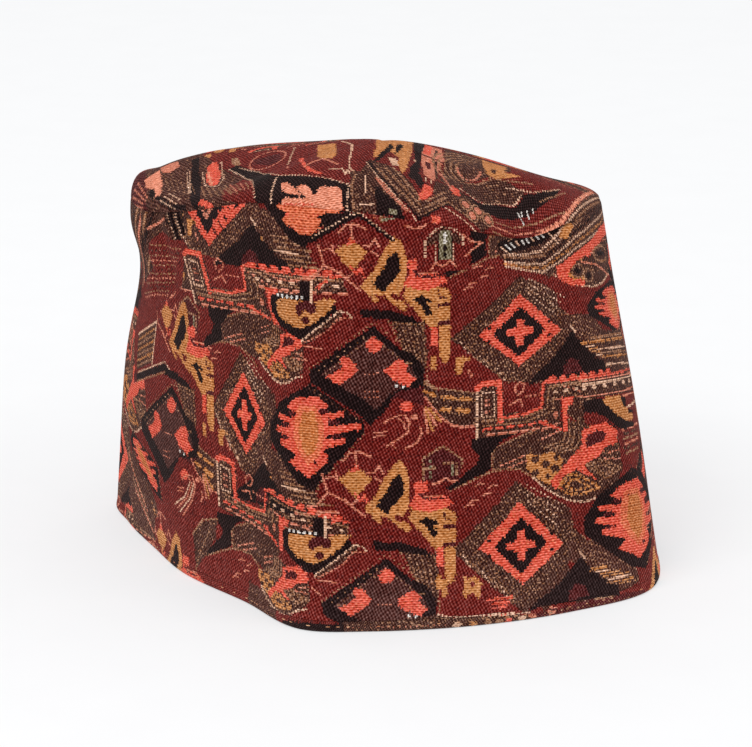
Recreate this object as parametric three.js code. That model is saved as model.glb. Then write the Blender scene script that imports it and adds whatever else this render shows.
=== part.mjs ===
import * as THREE from 'three';

// A soft woven cap standing on its rim: a tapered side band, a domed crown sewn into the band's top
// edge, and a narrow turned hem round the opening. Millimetres, +Z up, the tall front towards -Y.

const clothThickness = 2;
const pieceGap = 0.3;
const hemHeight = 3.4;
const hemThickness = 2.6;
const hemProud = 0.25;
const hemChamfer = 0.5;

const crownHeight = 142;
const crownMiddle = { x: 0, y: -36 };
const topBend = 1.5; // 1 is a straight slope from the middle, 2 a round top

// Round the cap: the reach of the rim and of the crown seam from the middle, and the seam's height.
// The crown is steepest at the seam, where it stands up by the lift, and turns over to the flatter top,
// which ends at a share of the way from the middle to the seam and a drop below the middle.
const sections = [
  { place: 'left end', towards: 160, rim: 94.5, seam: 84.5, height: 111, lift: 9, flat: 0.85, drop: 21 },
  { place: 'left', towards: 172, rim: 85, seam: 82, height: 112, lift: 9, flat: 0.85, drop: 19 },
  { place: 'left flat', towards: 190, rim: 75, seam: 76, height: 114, lift: 8, flat: 0.8, drop: 17.5 },
  { place: 'left front', towards: 211, rim: 72.7, seam: 70, height: 119.5, lift: 5, flat: 0.7, drop: 12.5 },
  { place: 'near corner', towards: 236, rim: 75, seam: 70, height: 127.5, lift: 3, flat: 0.6, drop: 4 },
  { place: 'corner', towards: 254, rim: 87.6, seam: 74, height: 129.5, lift: 2, flat: 0.6, drop: 3.5 },
  { place: 'front', towards: 268, rim: 87, seam: 75.5, height: 128.5, lift: 2, flat: 0.6, drop: 4.5 },
  { place: 'front right', towards: 289, rim: 87.4, seam: 73.5, height: 122.5, lift: 2, flat: 0.6, drop: 7 },
  { place: 'right front', towards: 310, rim: 92.4, seam: 70.5, height: 115.5, lift: 2, flat: 0.6, drop: 9 },
  { place: 'right end', towards: 329, rim: 100, seam: 70.5, height: 116.5, lift: 1.2, flat: 0.6, drop: 8 },
  { place: 'right', towards: 350, rim: 91.5, seam: 71, height: 115.5, lift: 2, flat: 0.58, drop: 11 },
  { place: 'right back', towards: 20, rim: 89, seam: 73, height: 111, lift: 4, flat: 0.58, drop: 16 },
  { place: 'back right', towards: 55, rim: 88, seam: 75, height: 103, lift: 7, flat: 0.56, drop: 20 },
  { place: 'back', towards: 90, rim: 87.5, seam: 75, height: 100, lift: 8, flat: 0.56, drop: 22 },
  { place: 'back left', towards: 128, rim: 91, seam: 79, height: 105, lift: 8, flat: 0.7, drop: 22 },
];

// Soft dents (-) and swells (+) of the band, placed by direction and by the share of its height.
const bandFolds = [
  { place: 'left neck', towards: 170, spread: 34, level: 0.78, tall: 0.2, push: -4.4 },
  { place: 'left roll', towards: 174, spread: 24, level: 0.93, tall: 0.08, push: 1.8 },
  { place: 'front corner', towards: 254, spread: 12, level: 0.1, tall: 0.5, push: 1 },
  { place: 'right side', towards: 345, spread: 26, level: 0.42, tall: 0.36, push: 1.8 },
  { place: 'dent at the right front', towards: 312, spread: 16, level: 0.9, tall: 0.14, push: -1.5 },
];

// Dents (-) and swells (+) of the crown, placed by direction and by the share of the way to the seam.
const crownFolds = [
  { place: 'right front hollow', towards: 304, reach: 0.68, spread: 0.24, push: -6 },
  { place: 'left shoulder', towards: 175, reach: 0.7, spread: 0.3, push: 3 },
];

const stepsPerSection = 6;
const bandOuterRows = 12;
const bandInnerRows = 8;
const crownOuterRings = 12;
const crownInnerRings = 8;

const columns = sections.length * stepsPerSection;
const tangentStep = 1e-3;

function outline(reach, height) {
  const points = sections.map((section) => {
    const angle = THREE.MathUtils.degToRad(section.towards);
    const distance = section[reach];
    return new THREE.Vector3(distance * Math.cos(angle), distance * Math.sin(angle), height(section));
  });
  return new THREE.CatmullRomCurve3(points, true);
}

const rimCurve = outline('rim', () => 0);
const seamCurve = outline('seam', (section) => section.height);
const crownCurve = new THREE.CatmullRomCurve3(
  sections.map((section) => new THREE.Vector3(section.lift, section.flat, section.drop)),
  true,
);

const bell = (offset, spread) => Math.exp(-((offset / spread) ** 2));

function turnBetween(point, towards) {
  const turn = THREE.MathUtils.radToDeg(Math.atan2(point.y, point.x)) - towards;
  return THREE.MathUtils.euclideanModulo(turn + 180, 360) - 180;
}

// The straight way from rim to seam, pushed in or out by the folds.
function bandPoint(around, level) {
  const point = rimCurve.getPoint(around).lerp(seamCurve.getPoint(around), level);
  let push = 0;
  for (const fold of bandFolds) {
    const beside = bell(turnBetween(point, fold.towards), fold.spread);
    push += fold.push * beside * bell(level - fold.level, fold.tall);
  }
  const outward = new THREE.Vector3(point.x, point.y, 0).normalize();
  return point.addScaledVector(outward, push);
}

// The same sheet a cloth's thickness further in, along the sheet's own normal.
function inside(sheet, around, along, depth) {
  const nearer = sheet(around, Math.max(along - tangentStep, 0));
  const further = sheet(around, Math.min(along + tangentStep, 1));
  const before = sheet(around - tangentStep, along);
  const after = sheet(around + tangentStep, along);
  const normal = after.sub(before).cross(further.sub(nearer)).normalize();
  return sheet(around, along).addScaledVector(normal, -depth);
}

// One line of the crown, on its face or a depth under it. The first half goes up from the seam in the
// band's own direction and over the shoulder, the second half over the rounded top to the middle.
function crownLine(around, inward, depth) {
  const [lift, flat, drop] = crownCurve.getPoint(around).toArray();
  const middle = new THREE.Vector3(crownMiddle.x, crownMiddle.y, crownHeight - depth);
  const seam = inside(bandPoint, around, 1, depth);
  const topEdge = middle.clone().lerp(seam, flat).setZ(middle.z - drop);
  if (inward > 0.5) {
    const share = 2 - 2 * inward;
    return middle.clone().lerp(topEdge, share).setZ(middle.z - drop * share ** topBend);
  }
  const upward = bandPoint(around, 1).sub(bandPoint(around, 1 - tangentStep)).normalize();
  const rise = Math.max(lift - depth, pieceGap);
  const outward = topEdge.clone().sub(middle).setZ(-topBend * drop);
  const overhang = (0.5 * (1 - flat)) / flat;
  const shoulderCurve = new THREE.CubicBezierCurve3(
    seam.clone().setZ(seam.z + pieceGap),
    seam.clone().addScaledVector(upward, pieceGap + rise),
    topEdge.clone().addScaledVector(outward, overhang),
    topEdge,
  );
  return shoulderCurve.getPoint(2 * inward);
}

function crownPoint(around, inward, depth) {
  const point = crownLine(around, inward, depth);
  const seam = seamCurve.getPoint(around);
  const share = Math.hypot(point.x, point.y) / Math.hypot(seam.x, seam.y);
  const edge = Math.max(1 - share ** 2, 0);
  for (const fold of crownFolds) {
    const turn = THREE.MathUtils.degToRad(turnBetween(point, fold.towards));
    const apart = Math.hypot(share * Math.cos(turn) - fold.reach, share * Math.sin(turn));
    point.z += fold.push * bell(apart, fold.spread) * edge;
  }
  return point;
}

// Rings of points joined by triangles: ring after ring, then either round to the first ring again
// or closed by a point at each end.
function loft(rings, poles) {
  const vertices = rings.flat();
  const triangles = [];
  const at = (ring, column) => (ring % rings.length) * columns + (column % columns);
  const joins = poles ? rings.length - 1 : rings.length;
  for (let ring = 0; ring < joins; ring += 1) {
    for (let column = 0; column < columns; column += 1) {
      triangles.push(at(ring, column), at(ring, column + 1), at(ring + 1, column + 1));
      triangles.push(at(ring, column), at(ring + 1, column + 1), at(ring + 1, column));
    }
  }
  if (poles) {
    const first = vertices.push(poles.first) - 1;
    const last = vertices.push(poles.last) - 1;
    for (let column = 0; column < columns; column += 1) {
      triangles.push(first, at(0, column + 1), at(0, column));
      triangles.push(last, at(rings.length - 1, column), at(rings.length - 1, column + 1));
    }
  }
  const geometry = new THREE.BufferGeometry().setFromPoints(vertices);
  geometry.setIndex(triangles);
  geometry.computeVertexNormals();
  return geometry;
}

function ringOf(pointAt) {
  return Array.from({ length: columns }, (_, column) => pointAt(column / columns));
}

function shares(from, to, count) {
  return Array.from({ length: count + 1 }, (_, step) => THREE.MathUtils.lerp(from, to, step / count));
}

// The turned hem's section, from its outer foot round: how far out from the band's face, how high.
const hemSection = [
  { out: hemProud - hemChamfer, up: 0 },
  { out: hemProud, up: hemChamfer },
  { out: hemProud, up: hemHeight - hemChamfer },
  { out: hemProud - hemChamfer, up: hemHeight },
  { out: hemProud - hemThickness + hemChamfer, up: hemHeight },
  { out: hemProud - hemThickness, up: hemHeight - hemChamfer },
  { out: hemProud - hemThickness, up: hemChamfer },
  { out: hemProud - hemThickness + hemChamfer, up: 0 },
];

const levelAt = (around, height) => height / seamCurve.getPoint(around).z;

function rimHem() {
  const rings = hemSection.map(({ out, up }) => ringOf((around) => (
    inside(bandPoint, around, levelAt(around, up), -out).setZ(up)
  )));
  return loft(rings);
}

function sideBand() {
  const footHeight = hemHeight + pieceGap;
  const level = (around, share) => THREE.MathUtils.lerp(levelAt(around, footHeight), 1, share);
  const outer = shares(0, 1, bandOuterRows).map((share) => (
    ringOf((around) => bandPoint(around, level(around, share)))
  ));
  const inner = shares(1, 0, bandInnerRows).map((share) => (
    ringOf((around) => inside(bandPoint, around, level(around, share), clothThickness))
  ));
  inner.at(-1).forEach((point) => point.setZ(footHeight));
  return loft([...outer, ...inner]);
}

function crown() {
  const under = shares(1, 0, crownInnerRings).slice(1);
  const face = shares(0, 1, crownOuterRings).slice(0, -1);
  const rings = [
    ...under.map((inward) => ringOf((around) => crownPoint(around, inward, clothThickness))),
    ...face.map((inward) => ringOf((around) => crownPoint(around, inward, 0))),
  ];
  return loft(rings, { first: crownPoint(0, 1, clothThickness), last: crownPoint(0, 1, 0) });
}

function piece(name, geometry, color) {
  const material = new THREE.MeshStandardMaterial({ color, roughness: 0.95, metalness: 0 });
  const mesh = new THREE.Mesh(geometry, material);
  mesh.name = name;
  return mesh;
}

const cap = new THREE.Group();
cap.add(piece('side_band', sideBand(), 0x6d2f28));
cap.add(piece('crown', crown(), 0x5c2a26));
cap.add(piece('rim_hem', rimHem(), 0x4a201e));

// The origin is the middle of the cap's box, on the floor.
const box = new THREE.Box3().setFromObject(cap);
cap.position.set(-(box.min.x + box.max.x) / 2, -(box.min.y + box.max.y) / 2, -box.min.z);

export default cap;
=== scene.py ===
import math

import bpy
import numpy as np
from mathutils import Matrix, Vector


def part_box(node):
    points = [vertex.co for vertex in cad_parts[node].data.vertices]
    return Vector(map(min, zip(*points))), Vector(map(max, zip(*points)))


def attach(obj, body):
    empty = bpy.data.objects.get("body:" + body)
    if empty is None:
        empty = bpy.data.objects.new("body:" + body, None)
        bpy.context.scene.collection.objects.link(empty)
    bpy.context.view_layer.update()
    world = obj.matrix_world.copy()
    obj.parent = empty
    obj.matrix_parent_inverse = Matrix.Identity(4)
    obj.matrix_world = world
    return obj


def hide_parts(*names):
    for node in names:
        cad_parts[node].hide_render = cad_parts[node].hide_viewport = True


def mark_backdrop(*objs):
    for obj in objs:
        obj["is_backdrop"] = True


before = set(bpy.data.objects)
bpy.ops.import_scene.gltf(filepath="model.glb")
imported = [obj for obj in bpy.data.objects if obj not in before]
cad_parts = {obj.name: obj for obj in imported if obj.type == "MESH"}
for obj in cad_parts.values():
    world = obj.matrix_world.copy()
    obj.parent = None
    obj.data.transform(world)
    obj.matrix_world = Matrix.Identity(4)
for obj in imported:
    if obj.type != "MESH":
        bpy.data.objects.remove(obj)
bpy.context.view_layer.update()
print("frame loaded:", ", ".join(sorted(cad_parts)))

mm = 0.001

# The cap's form, as its solids have it, in millimetres and degrees round from +X
capForm = {
    "middle": np.array([0.0, -36.0]),  # where the crown's lines meet, seen from above
    "height": 142.0,
    "bend": 1.5,                       # of the crown's top, from a straight slope to a round one
    "cloth": 2.0,
    "hem": 3.4,
    "gap": 0.3,
    "front": 270.0,                    # the chart is laid out from here
    "back": 90.0,                      # the band's ends are sewn together here
}

# towards, rim, seam, height, lift, flat, drop
sections = np.array([
    (160, 94.5, 84.5, 111, 9, 0.85, 21),       # left end
    (172, 85, 82, 112, 9, 0.85, 19),
    (190, 75, 76, 114, 8, 0.8, 17.5),          # left flat
    (211, 72.7, 70, 119.5, 5, 0.7, 12.5),
    (236, 75, 70, 127.5, 3, 0.6, 4),
    (254, 87.6, 74, 129.5, 2, 0.6, 3.5),       # front corner
    (268, 87, 75.5, 128.5, 2, 0.6, 4.5),       # front
    (289, 87.4, 73.5, 122.5, 2, 0.6, 7),
    (310, 92.4, 70.5, 115.5, 2, 0.6, 9),
    (329, 100, 70.5, 116.5, 1.2, 0.6, 8),      # right end
    (350, 91.5, 71, 115.5, 2, 0.58, 11),
    (20, 89, 73, 111, 4, 0.58, 16),
    (55, 88, 75, 103, 7, 0.56, 20),
    (90, 87.5, 75, 100, 8, 0.56, 22),          # back
    (128, 91, 79, 105, 8, 0.7, 22),
])
towards, rimReach, seamReach, seamHeight, crownLift, flatShare, topDrop = sections.T

# towards, spread, level, tall, push
bandFolds = [
    (170, 34, 0.78, 0.2, -4.4),                # left neck
    (174, 24, 0.93, 0.08, 1.8),                # left roll
    (254, 12, 0.1, 0.5, 1.0),                  # front corner
    (345, 26, 0.42, 0.36, 1.8),                # right side
    (312, 16, 0.9, 0.14, -1.5),                # dent at the right front
]

# towards, reach, spread, push
crownFolds = [
    (304, 0.68, 0.24, -6.0),                   # right front hollow
    (175, 0.7, 0.3, 3.0),                      # left shoulder
    (178, 0.86, 0.1, 4.0),                     # its brow, in the cloth alone
    (212, 0.5, 0.34, -1.9),                    # left of the peak, in the cloth alone
]


def loopCurve(points):
    # closed curve through the points, its bends even whatever their spacing
    def at(around):
        place = np.mod(around, 1) * len(points)
        first = np.floor(place).astype(int)
        share = (place - first)[..., None]
        p0, p1, p2, p3 = (points[(first + step) % len(points)] for step in (-1, 0, 1, 2))
        d0, d1, d2 = (np.linalg.norm(b - a, axis=-1, keepdims=True) ** 0.5
                      for a, b in ((p0, p1), (p1, p2), (p2, p3)))
        d1 = np.where(d1 < 1e-4, 1, d1)        # two points alike
        d0, d2 = (np.where(d < 1e-4, d1, d) for d in (d0, d2))
        t1 = d1 * ((p1 - p0) / d0 - (p2 - p0) / (d0 + d1) + (p2 - p1) / d1)
        t2 = d1 * ((p2 - p1) / d1 - (p3 - p1) / (d1 + d2) + (p3 - p2) / d2)
        bend = 3 * (p2 - p1) - 2 * t1 - t2
        return p1 + share * (t1 + share * (bend + share * (2 * (p1 - p2) + t1 + t2)))
    return at


def ringPoints(reach, height):
    turn = np.radians(towards)
    return np.stack([reach * np.cos(turn), reach * np.sin(turn), height + 0 * reach], 1)


rimCurve = loopCurve(ringPoints(rimReach, 0))
seamCurve = loopCurve(ringPoints(seamReach, seamHeight))
crownCurve = loopCurve(np.stack([crownLift, flatShare, topDrop], 1))


def bell(offset, spread):
    return np.exp(-(offset / spread) ** 2)


def unit(vectors):
    return vectors / np.maximum(np.linalg.norm(vectors, axis=-1, keepdims=True), 1e-12)


def turnFrom(point, angle):
    return np.mod(np.degrees(np.arctan2(point[..., 1], point[..., 0])) - angle + 180, 360) - 180


def bandPoint(around, level):
    point = rimCurve(around) + (seamCurve(around) - rimCurve(around)) * level[..., None]
    push = 0
    for angle, spread, height, tall, amount in bandFolds:
        push = push + amount * bell(turnFrom(point, angle), spread) * bell(level - height, tall)
    return point + unit(point * [1, 1, 0]) * push[..., None]


def normalOf(surface, around, along, step=1e-3):
    across = surface(around + step, along) - surface(around - step, along)
    upward = surface(around, along + step) - surface(around, along - step)
    return unit(np.cross(across, upward))


chart = {
    "fine": 2,            # painted squares to a weave cell
    "left": -340, "right": 340, "low": -24, "high": 190,     # cells from the front ruling and the foot
    "repeat": (112, 33),  # one repeat to the right lies this many cells along and up
    "tall": 76,           # the repeat upwards
    "copies": (3, 4),     # even copies each way, along and up
    "apart": 45,          # nearer than this to a copy in view there is no even one
    "round": (14, 25),    # corners of a spot and of a ring
}

# Yarn colours in daylight, 0 to 255; on the crown, peach is coral painted lighter, a painted highlight
# where the top faces the light
yarnColours = {
    "maroon": (104, 24, 18), "dark": (28, 11, 11), "coral": (209, 82, 63), "ochre": (186, 119, 68),
    "brown": (73, 37, 28), "cream": (210, 164, 136), "rose": (196, 116, 92), "green": (118, 106, 82),
    "plum": (76, 21, 21), "white": (214, 204, 196), "tan": (151, 104, 76), "umber": (68, 35, 26),
    "amber": (208, 104, 70), "peach": (218, 134, 106), "honey": (186, 106, 58), "bark": (73, 36, 31),
}
yarns = list(yarnColours)


class Loom:
    # paints squares of yarn by shapes given in cells, wherever the motif now stands
    def __init__(self, plan):
        self.corner = np.array([plan["left"], plan["low"]])
        wide = (plan["right"] - plan["left"]) * plan["fine"]
        high = (plan["high"] - plan["low"]) * plan["fine"]
        self.fine = plan["fine"]
        self.cloth = np.zeros((high, wide), np.int8)
        self.stand()

    def stand(self, middle=(0, 0), at=(0, 0), wide=1.0, lean=0.0, tall=1.0, slope=0.0):
        # where a copy of a motif stands, and how it is drawn out about its middle
        self.middle = np.array(middle, float)
        self.at = self.middle + at
        self.lay = np.array([[wide, slope], [lean, tall]])

    def laid(self, corners):
        return (np.array(corners, float) - self.middle) @ self.lay + self.at

    def window(self, points, spare):
        fine, corner = self.fine, self.corner
        low = np.floor((points.min(0) - spare - corner) * fine).astype(int)
        high = np.ceil((points.max(0) + spare - corner) * fine).astype(int) + 1
        low = np.clip(low, 0, self.cloth.shape[::-1])
        high = np.clip(high, 0, self.cloth.shape[::-1])
        across = (np.arange(low[0], high[0]) + 0.5) / fine + corner[0]
        up = (np.arange(low[1], high[1]) + 0.5) / fine + corner[1]
        part = self.cloth[low[1]:high[1], low[0]:high[0]]
        return part, *np.meshgrid(across, up)

    def fill(self, yarn, *corners):
        points = self.laid(corners)
        part, x, y = self.window(points, 0)
        inside = np.zeros(part.shape, bool)
        for (x0, y0), (x1, y1) in zip(points, np.roll(points, -1, 0)):
            if y0 == y1:
                continue
            crosses = (y0 > y) != (y1 > y)
            inside ^= crosses & (x < x0 + (y - y0) * (x1 - x0) / (y1 - y0))
        part[inside] = yarns.index(yarn)

    def line(self, yarn, *corners, wide=0.9, dash=0, gap=1.0):
        points = self.laid(corners)
        part, x, y = self.window(points, wide)
        start = 0.0
        for a, b in zip(points[:-1], points[1:]):
            along = b - a
            length = max(np.hypot(*along), 1e-6)
            share = ((x - a[0]) * along[0] + (y - a[1]) * along[1]) / length
            apart = np.hypot(x - a[0] - np.clip(share, 0, length) * along[0] / length,
                             y - a[1] - np.clip(share, 0, length) * along[1] / length)
            on = apart <= wide / 2
            if dash:
                on &= np.mod(start + share, dash + gap) < dash
            part[on] = yarns.index(yarn)
            start += length

    def lines(self, yarn, *paths, **look):
        for path in paths:
            self.line(yarn, *path, **look)

    def spot(self, yarn, x, y, wide, tall=None):
        turn = np.linspace(0, 2 * np.pi, chart["round"][0], endpoint=False)
        self.fill(yarn, *np.stack([x + wide * np.cos(turn), y + (tall or wide) * np.sin(turn)], 1))

    def bar(self, yarn, left, low, right, high):
        self.fill(yarn, (left, low), (right, low), (right, high), (left, high))


def diamondRing(loom, yarn, x, y, reach, rise, **look):
    loom.line(yarn, (x, y + rise), (x + reach, y), (x, y - rise), (x - reach, y), (x, y + rise), **look)


def ring(loom, yarn, x, y, reach, rise, start=0, end=360, **look):
    turn = np.radians(np.linspace(start, end, chart["round"][1]))
    loom.line(yarn, *np.stack([x + reach * np.cos(turn), y + rise * np.sin(turn)], 1), **look)


def dottedGround(loom):
    # brown ground of the coral diamond, with rows of dots that run with its edges
    x, y = 51, 24.5
    loom.fill("umber", (x - 1, y + 23), (x + 27, y - 1), (x + 1, y - 25), (x - 26, y))
    for step in range(4):
        size = 18.6 + 2.1 * step
        diamondRing(loom, "tan", x + 0.2 * step, y, size, size * 0.87, wide=0.5, dash=0.6,
                    gap=1.3 + 0.3 * (step % 2))
    for step in range(8):          # steep dashes at the lower left
        loom.line("cream" if step % 3 == 0 else "tan", (x - 22 + 2.3 * step, y - 1.6 - 2 * step),
                  (x - 18.6 + 2.3 * step, y - 7 - 2 * step), wide=0.5, dash=1.3, gap=0.9)
    for step in range(4):          # bright dots at the upper right
        loom.line("cream", (x + 3, y + 15.4 + 1.9 * step), (x + 14 + 1.6 * step, y + 6 + 1.9 * step),
                  wide=0.6, dash=0.6)


def coralDiamond(loom):
    x, y = 51, 24.5
    loom.fill("coral", (x - 0.5, y + 15.4), (x + 17.2, y - 1.2), (x + 0.5, y - 14), (x - 16.2, y + 0.3))
    for side in (-1, 1):
        for end in (-1, 1):
            loom.bar("dark", x + side * 7.3 - 0.7, y + end * 9.4 - 0.5, x + side * 7.3 + 0.7,
                     y + end * 9.4 + 0.5)
            loom.bar("dark", x + side * 12.2 - 0.7, y + end * 2.8 - 0.5, x + side * 12.2 + 0.7,
                     y + end * 2.8 + 0.5)
    for step in range(10):         # the dark diamond rises in small steps
        wide, tall = 10.2 - step, 0.7 + 0.98 * step
        loom.bar("dark", x - wide, y - tall - 0.3, x + wide, y + tall + 0.3)
    loom.bar("coral", x - 5.4, y - 1.3, x + 5.6, y + 1.4)
    loom.bar("coral", x - 1.5, y - 5.4, x + 1.6, y + 5.4)
    loom.bar("coral", x - 2.6, y - 2.2, x + 2.7, y + 2.2)


def leafGround(loom):
    loom.fill("dark", (-24, 83.5), (-5, 71), (-5, 67), (-19, 51), (-22, 46), (-28, 48), (-42, 62),
              (-42, 68), (-37, 76))
    loom.line("umber", (-25, 82), (-6, 71), wide=0.8, dash=1.2, gap=1.2)
    loom.line("tan", (-21, 48), (-4.5, 67), wide=0.6, dash=0.6, gap=1.4)


def leaf(loom):
    # a body, then its fingers: x of root and tip, their levels, half their thickness
    loom.fill("coral", (-27.6, 78.5), (-21.6, 79), (-17, 76), (-20.4, 73), (-17.6, 71.6), (-17.8, 66),
              (-18.2, 62), (-19, 60), (-17.2, 57.6), (-19.6, 54.4), (-24.4, 50.5), (-29.4, 53.6),
              (-32, 55.2), (-29.4, 58), (-31.6, 61), (-32.8, 66), (-31.4, 71), (-29.4, 72), (-33.6, 74.4),
              (-31, 77))
    fingers = [
        (-20.6, -12.2, 71.9, 73.1, 1.2, 0.9), (-19.6, -6.9, 66.9, 69.2, 1.7, 0.9),
        (-19.8, -11.4, 62.4, 64, 1.8, 0.9),
        (-29, -37.6, 69.2, 70.8, 1.6, 0.9), (-30, -38.4, 65, 66.4, 1.9, 1),
        (-28.6, -36.6, 60.4, 62, 2.2, 1),
    ]
    for root, tip, rootLevel, tipLevel, thick, thin in fingers:
        loom.fill("coral", (root, rootLevel + thick), (tip, tipLevel + thin), (tip, tipLevel - thin),
                  (root, rootLevel - thick))
    loom.spot("coral", -7.4, 69, 1.7, 1.3)
    for x, y, reach, rise in ((-31.4, 72.4, 1.7, 0.8), (-19.2, 74, 1.9, 1.1), (-15.6, 70.4, 2.2, 0.9),
                              (-14.6, 65.6, 2, 0.8), (-34.6, 68.2, 1.6, 0.6), (-34.2, 63.6, 1.7, 0.6)):
        loom.spot("plum", x, y, reach, rise)       # the gaps between them
    loom.fill("amber", (-28.6, 75.4), (-22.2, 75.8), (-19.2, 70), (-19.2, 64), (-20.6, 58.4), (-24.2, 55),
              (-28, 59), (-30.6, 64), (-30.6, 69))
    loom.fill("honey", (-27, 73.4), (-22.6, 73.8), (-20.8, 69), (-20.8, 64), (-22.4, 59.6), (-24.6, 57.6),
              (-27, 61), (-28.4, 66))
    loom.bar("plum", -22.6, 55.6, -21, 56.3)
    loom.bar("plum", -27.6, 73.4, -26.8, 74.1)


def darkDiamondGround(loom):
    loom.fill("umber", (4, 106), (15.8, 105), (17, 93), (15.4, 84), (9, 94))
    for step in range(6):
        loom.line("tan", (3 + 2.4 * step, 106 - 0.4 * step), (9 + 1.6 * step, 95 - 2.2 * step),
                  wide=0.6, dash=0.8, gap=0.8)
    loom.fill("plum", (-2, 76), (6, 82), (15.4, 82), (15.4, 76), (6, 79))
    loom.fill("dark", (-6.5, 110), (3, 109.6), (12, 106.6), (14.5, 103.4), (9, 104.8), (3, 106.4),
              (-6, 107))
    loom.line("tan", (6, 104.8), (15, 104.2), wide=0.6, dash=0.8, gap=0.7)


def darkDiamond(loom):
    loom.fill("dark", (-2, 104.2), (7, 96), (12, 94), (15.5, 89), (15.5, 82.5), (6, 81), (2, 74),
              (-3, 69.5), (-8, 74), (-24, 84), (-24.2, 88))
    loom.fill("bark", (-2.2, 101.4), (10.4, 90.4), (13.2, 85.5), (7, 82.2), (3.4, 79.8), (0.8, 76.2),
              (-1.8, 75.4), (-5.4, 78.6), (-9.4, 80.6), (-20, 87))
    loom.line("tan", (-18.6, 87.2), (-2.2, 100.4), (9.8, 90.2), wide=0.5, dash=0.6, gap=1.4)
    loom.line("tan", (-24.4, 88.4), (-2.4, 104.8), wide=0.6, dash=0.6, gap=1.2)
    loom.line("tan", (-21, 88), (-4, 101), wide=0.5, dash=0.6, gap=2.2)
    loom.line("tan", (-1, 105), (9, 96), wide=0.6, dash=0.6, gap=1.6)
    loom.fill("coral", (-1.9, 100.4), (0.8, 98.8), (0.8, 96.6), (-1, 95), (-3, 95), (-4.6, 96.8),
              (-4.2, 98.8))
    loom.fill("coral", (-12.2, 93.6), (-9.8, 92.8), (-6.8, 89.2), (-8.4, 87), (-11, 85.2), (-14, 83.2),
              (-16, 84.8), (-18, 86.4), (-14.6, 88), (-12.4, 90), (-13.6, 92))
    loom.fill("coral", (5, 91.4), (7.5, 92.2), (10, 90), (9.4, 88.4), (11.2, 86.4), (13.2, 85),
              (11.2, 84.2), (10.4, 82.4), (8, 83.6), (4.6, 85.2), (1.4, 88))
    loom.spot("coral", 9.5, 75.7, 2.3, 1.9)
    loom.spot("white", 6, 83, 0.5)
    loom.spot("white", 8.4, 82.7, 0.5)
    loom.line("tan", (9.6, 91), (11.2, 90.8), wide=0.6)
    for level in (87.2, 79, 81):
        loom.line("rose", (-5, level), (0, level + 0.4), wide=0.5, dash=0.7, gap=0.7)


def eye(loom):
    loom.fill("ochre", (5.5, 134.6), (3.4, 132.4), (1, 129), (-2, 123), (-6.6, 117.6), (-4, 115.4),
              (-1.4, 112.2), (0, 112.4), (-0.4, 114.6), (1.4, 114.6), (4.6, 111.6), (8.6, 108.8),
              (10, 110.4), (6.6, 114), (8.8, 117.4), (9.4, 122), (9.4, 127), (8.6, 131), (7.4, 133.4))
    loom.fill("dark", (6, 129.6), (7.2, 126.6), (7.2, 122.4), (5, 119.8), (3, 118), (1.6, 115.6),
              (-0.6, 117), (-2.1, 118.6), (-0.6, 121), (2, 124.6), (3.4, 128))
    loom.fill("maroon", (4, 115), (5.8, 115), (7.6, 113.6), (6.4, 112.4), (4.4, 113.6))
    loom.line("maroon", (-0.6, 114.6), (1.6, 112.2))


def figure(loom):
    loom.fill("ochre", (9.2, 118.6), (20, 117.6), (25.2, 115), (25.2, 92.6), (21, 92.6), (21, 97),
              (18, 97), (18, 102.4), (12, 109.4), (8.6, 113.4))
    loom.fill("coral", (10, 126.4), (14.8, 127), (14.8, 123.4), (13.2, 122.8), (13.2, 121.8), (20, 121.6),
              (22.4, 120.4), (24.4, 118.4), (20, 116.8), (16, 115.8), (10, 117), (8.4, 118), (10.4, 122))
    loom.bar("coral", 18, 96.4, 20.6, 103)
    loom.line("rose", (13.6, 121.6), (20, 121.6), wide=0.6)
    loom.line("plum", (12, 122.6), (13.8, 120.6), (20.6, 120.4), wide=0.8)
    loom.fill("dark", (11.4, 112.8), (14, 113.6), (14.6, 114.6), (16, 113.2), (18.6, 112.4),
              (18.6, 111.4), (16.4, 111.4), (18.6, 108.8), (18, 107.2), (16.4, 107.2), (15, 109.6),
              (13.6, 111.8))
    loom.bar("plum", 20.6, 109.8, 25.2, 111.2)
    loom.bar("plum", 20.6, 103.4, 25.2, 104.8)
    loom.line("plum", (20.6, 115.6), (21.4, 113), (23.4, 113), wide=0.7)
    loom.line("maroon", (20.8, 97), (20.8, 103.4), wide=0.6)
    loom.bar("ochre", 18, 88, 20, 93.2)
    loom.bar("ochre", 22, 90.4, 24.6, 95)
    loom.fill("ochre", (27, 85.8), (27, 92), (29.6, 92), (32.6, 91.4), (32.6, 90.4), (29.8, 90.2),
              (29.4, 85.8))
    loom.line("rose", (31.6, 87.4), (33.4, 84.8), wide=1.3, dash=1.1, gap=0.7)


def smallDiamond(loom):
    loom.fill("ochre", (-13.8, 50.6), (-10, 53.6), (-8.2, 54.6), (-6, 53.4), (-2.4, 50.8), (-5, 47.4),
              (-7.8, 44), (-10.6, 47))
    loom.fill("coral", (-10, 53), (-8, 56.4), (-6.4, 53.6))
    loom.lines("rose", [(-7.6, 55), (-8.2, 60)], [(-12.2, 57), (-10, 59.6), (-7, 60.2), (-2.8, 58.4)],
               [(-4, 52.8), (-1.6, 52.6), (0, 55.2), (1.6, 52.2)], wide=0.7)
    loom.line("rose", (-1.4, 51), (1, 49.4), wide=0.6)
    loom.line("coral", (-8.2, 45.6), (-6.2, 43), (-5, 45), (-3.8, 42), wide=0.8)
    loom.lines("rose", [(-12, 44), (-9.6, 41.4), (-7.2, 43.4)],
               [(-18, 50.8), (-15.6, 51.6), (-14, 50), (-14.8, 53)], wide=0.6)
    loom.lines("rose", [(-19.6, 52.2), (-17.6, 45.8), (-12, 43.2), (-4.8, 37.4)],
               [(-17.6, 45.8), (-21.6, 40.8), (-25, 40.4)], wide=0.7)


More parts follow.
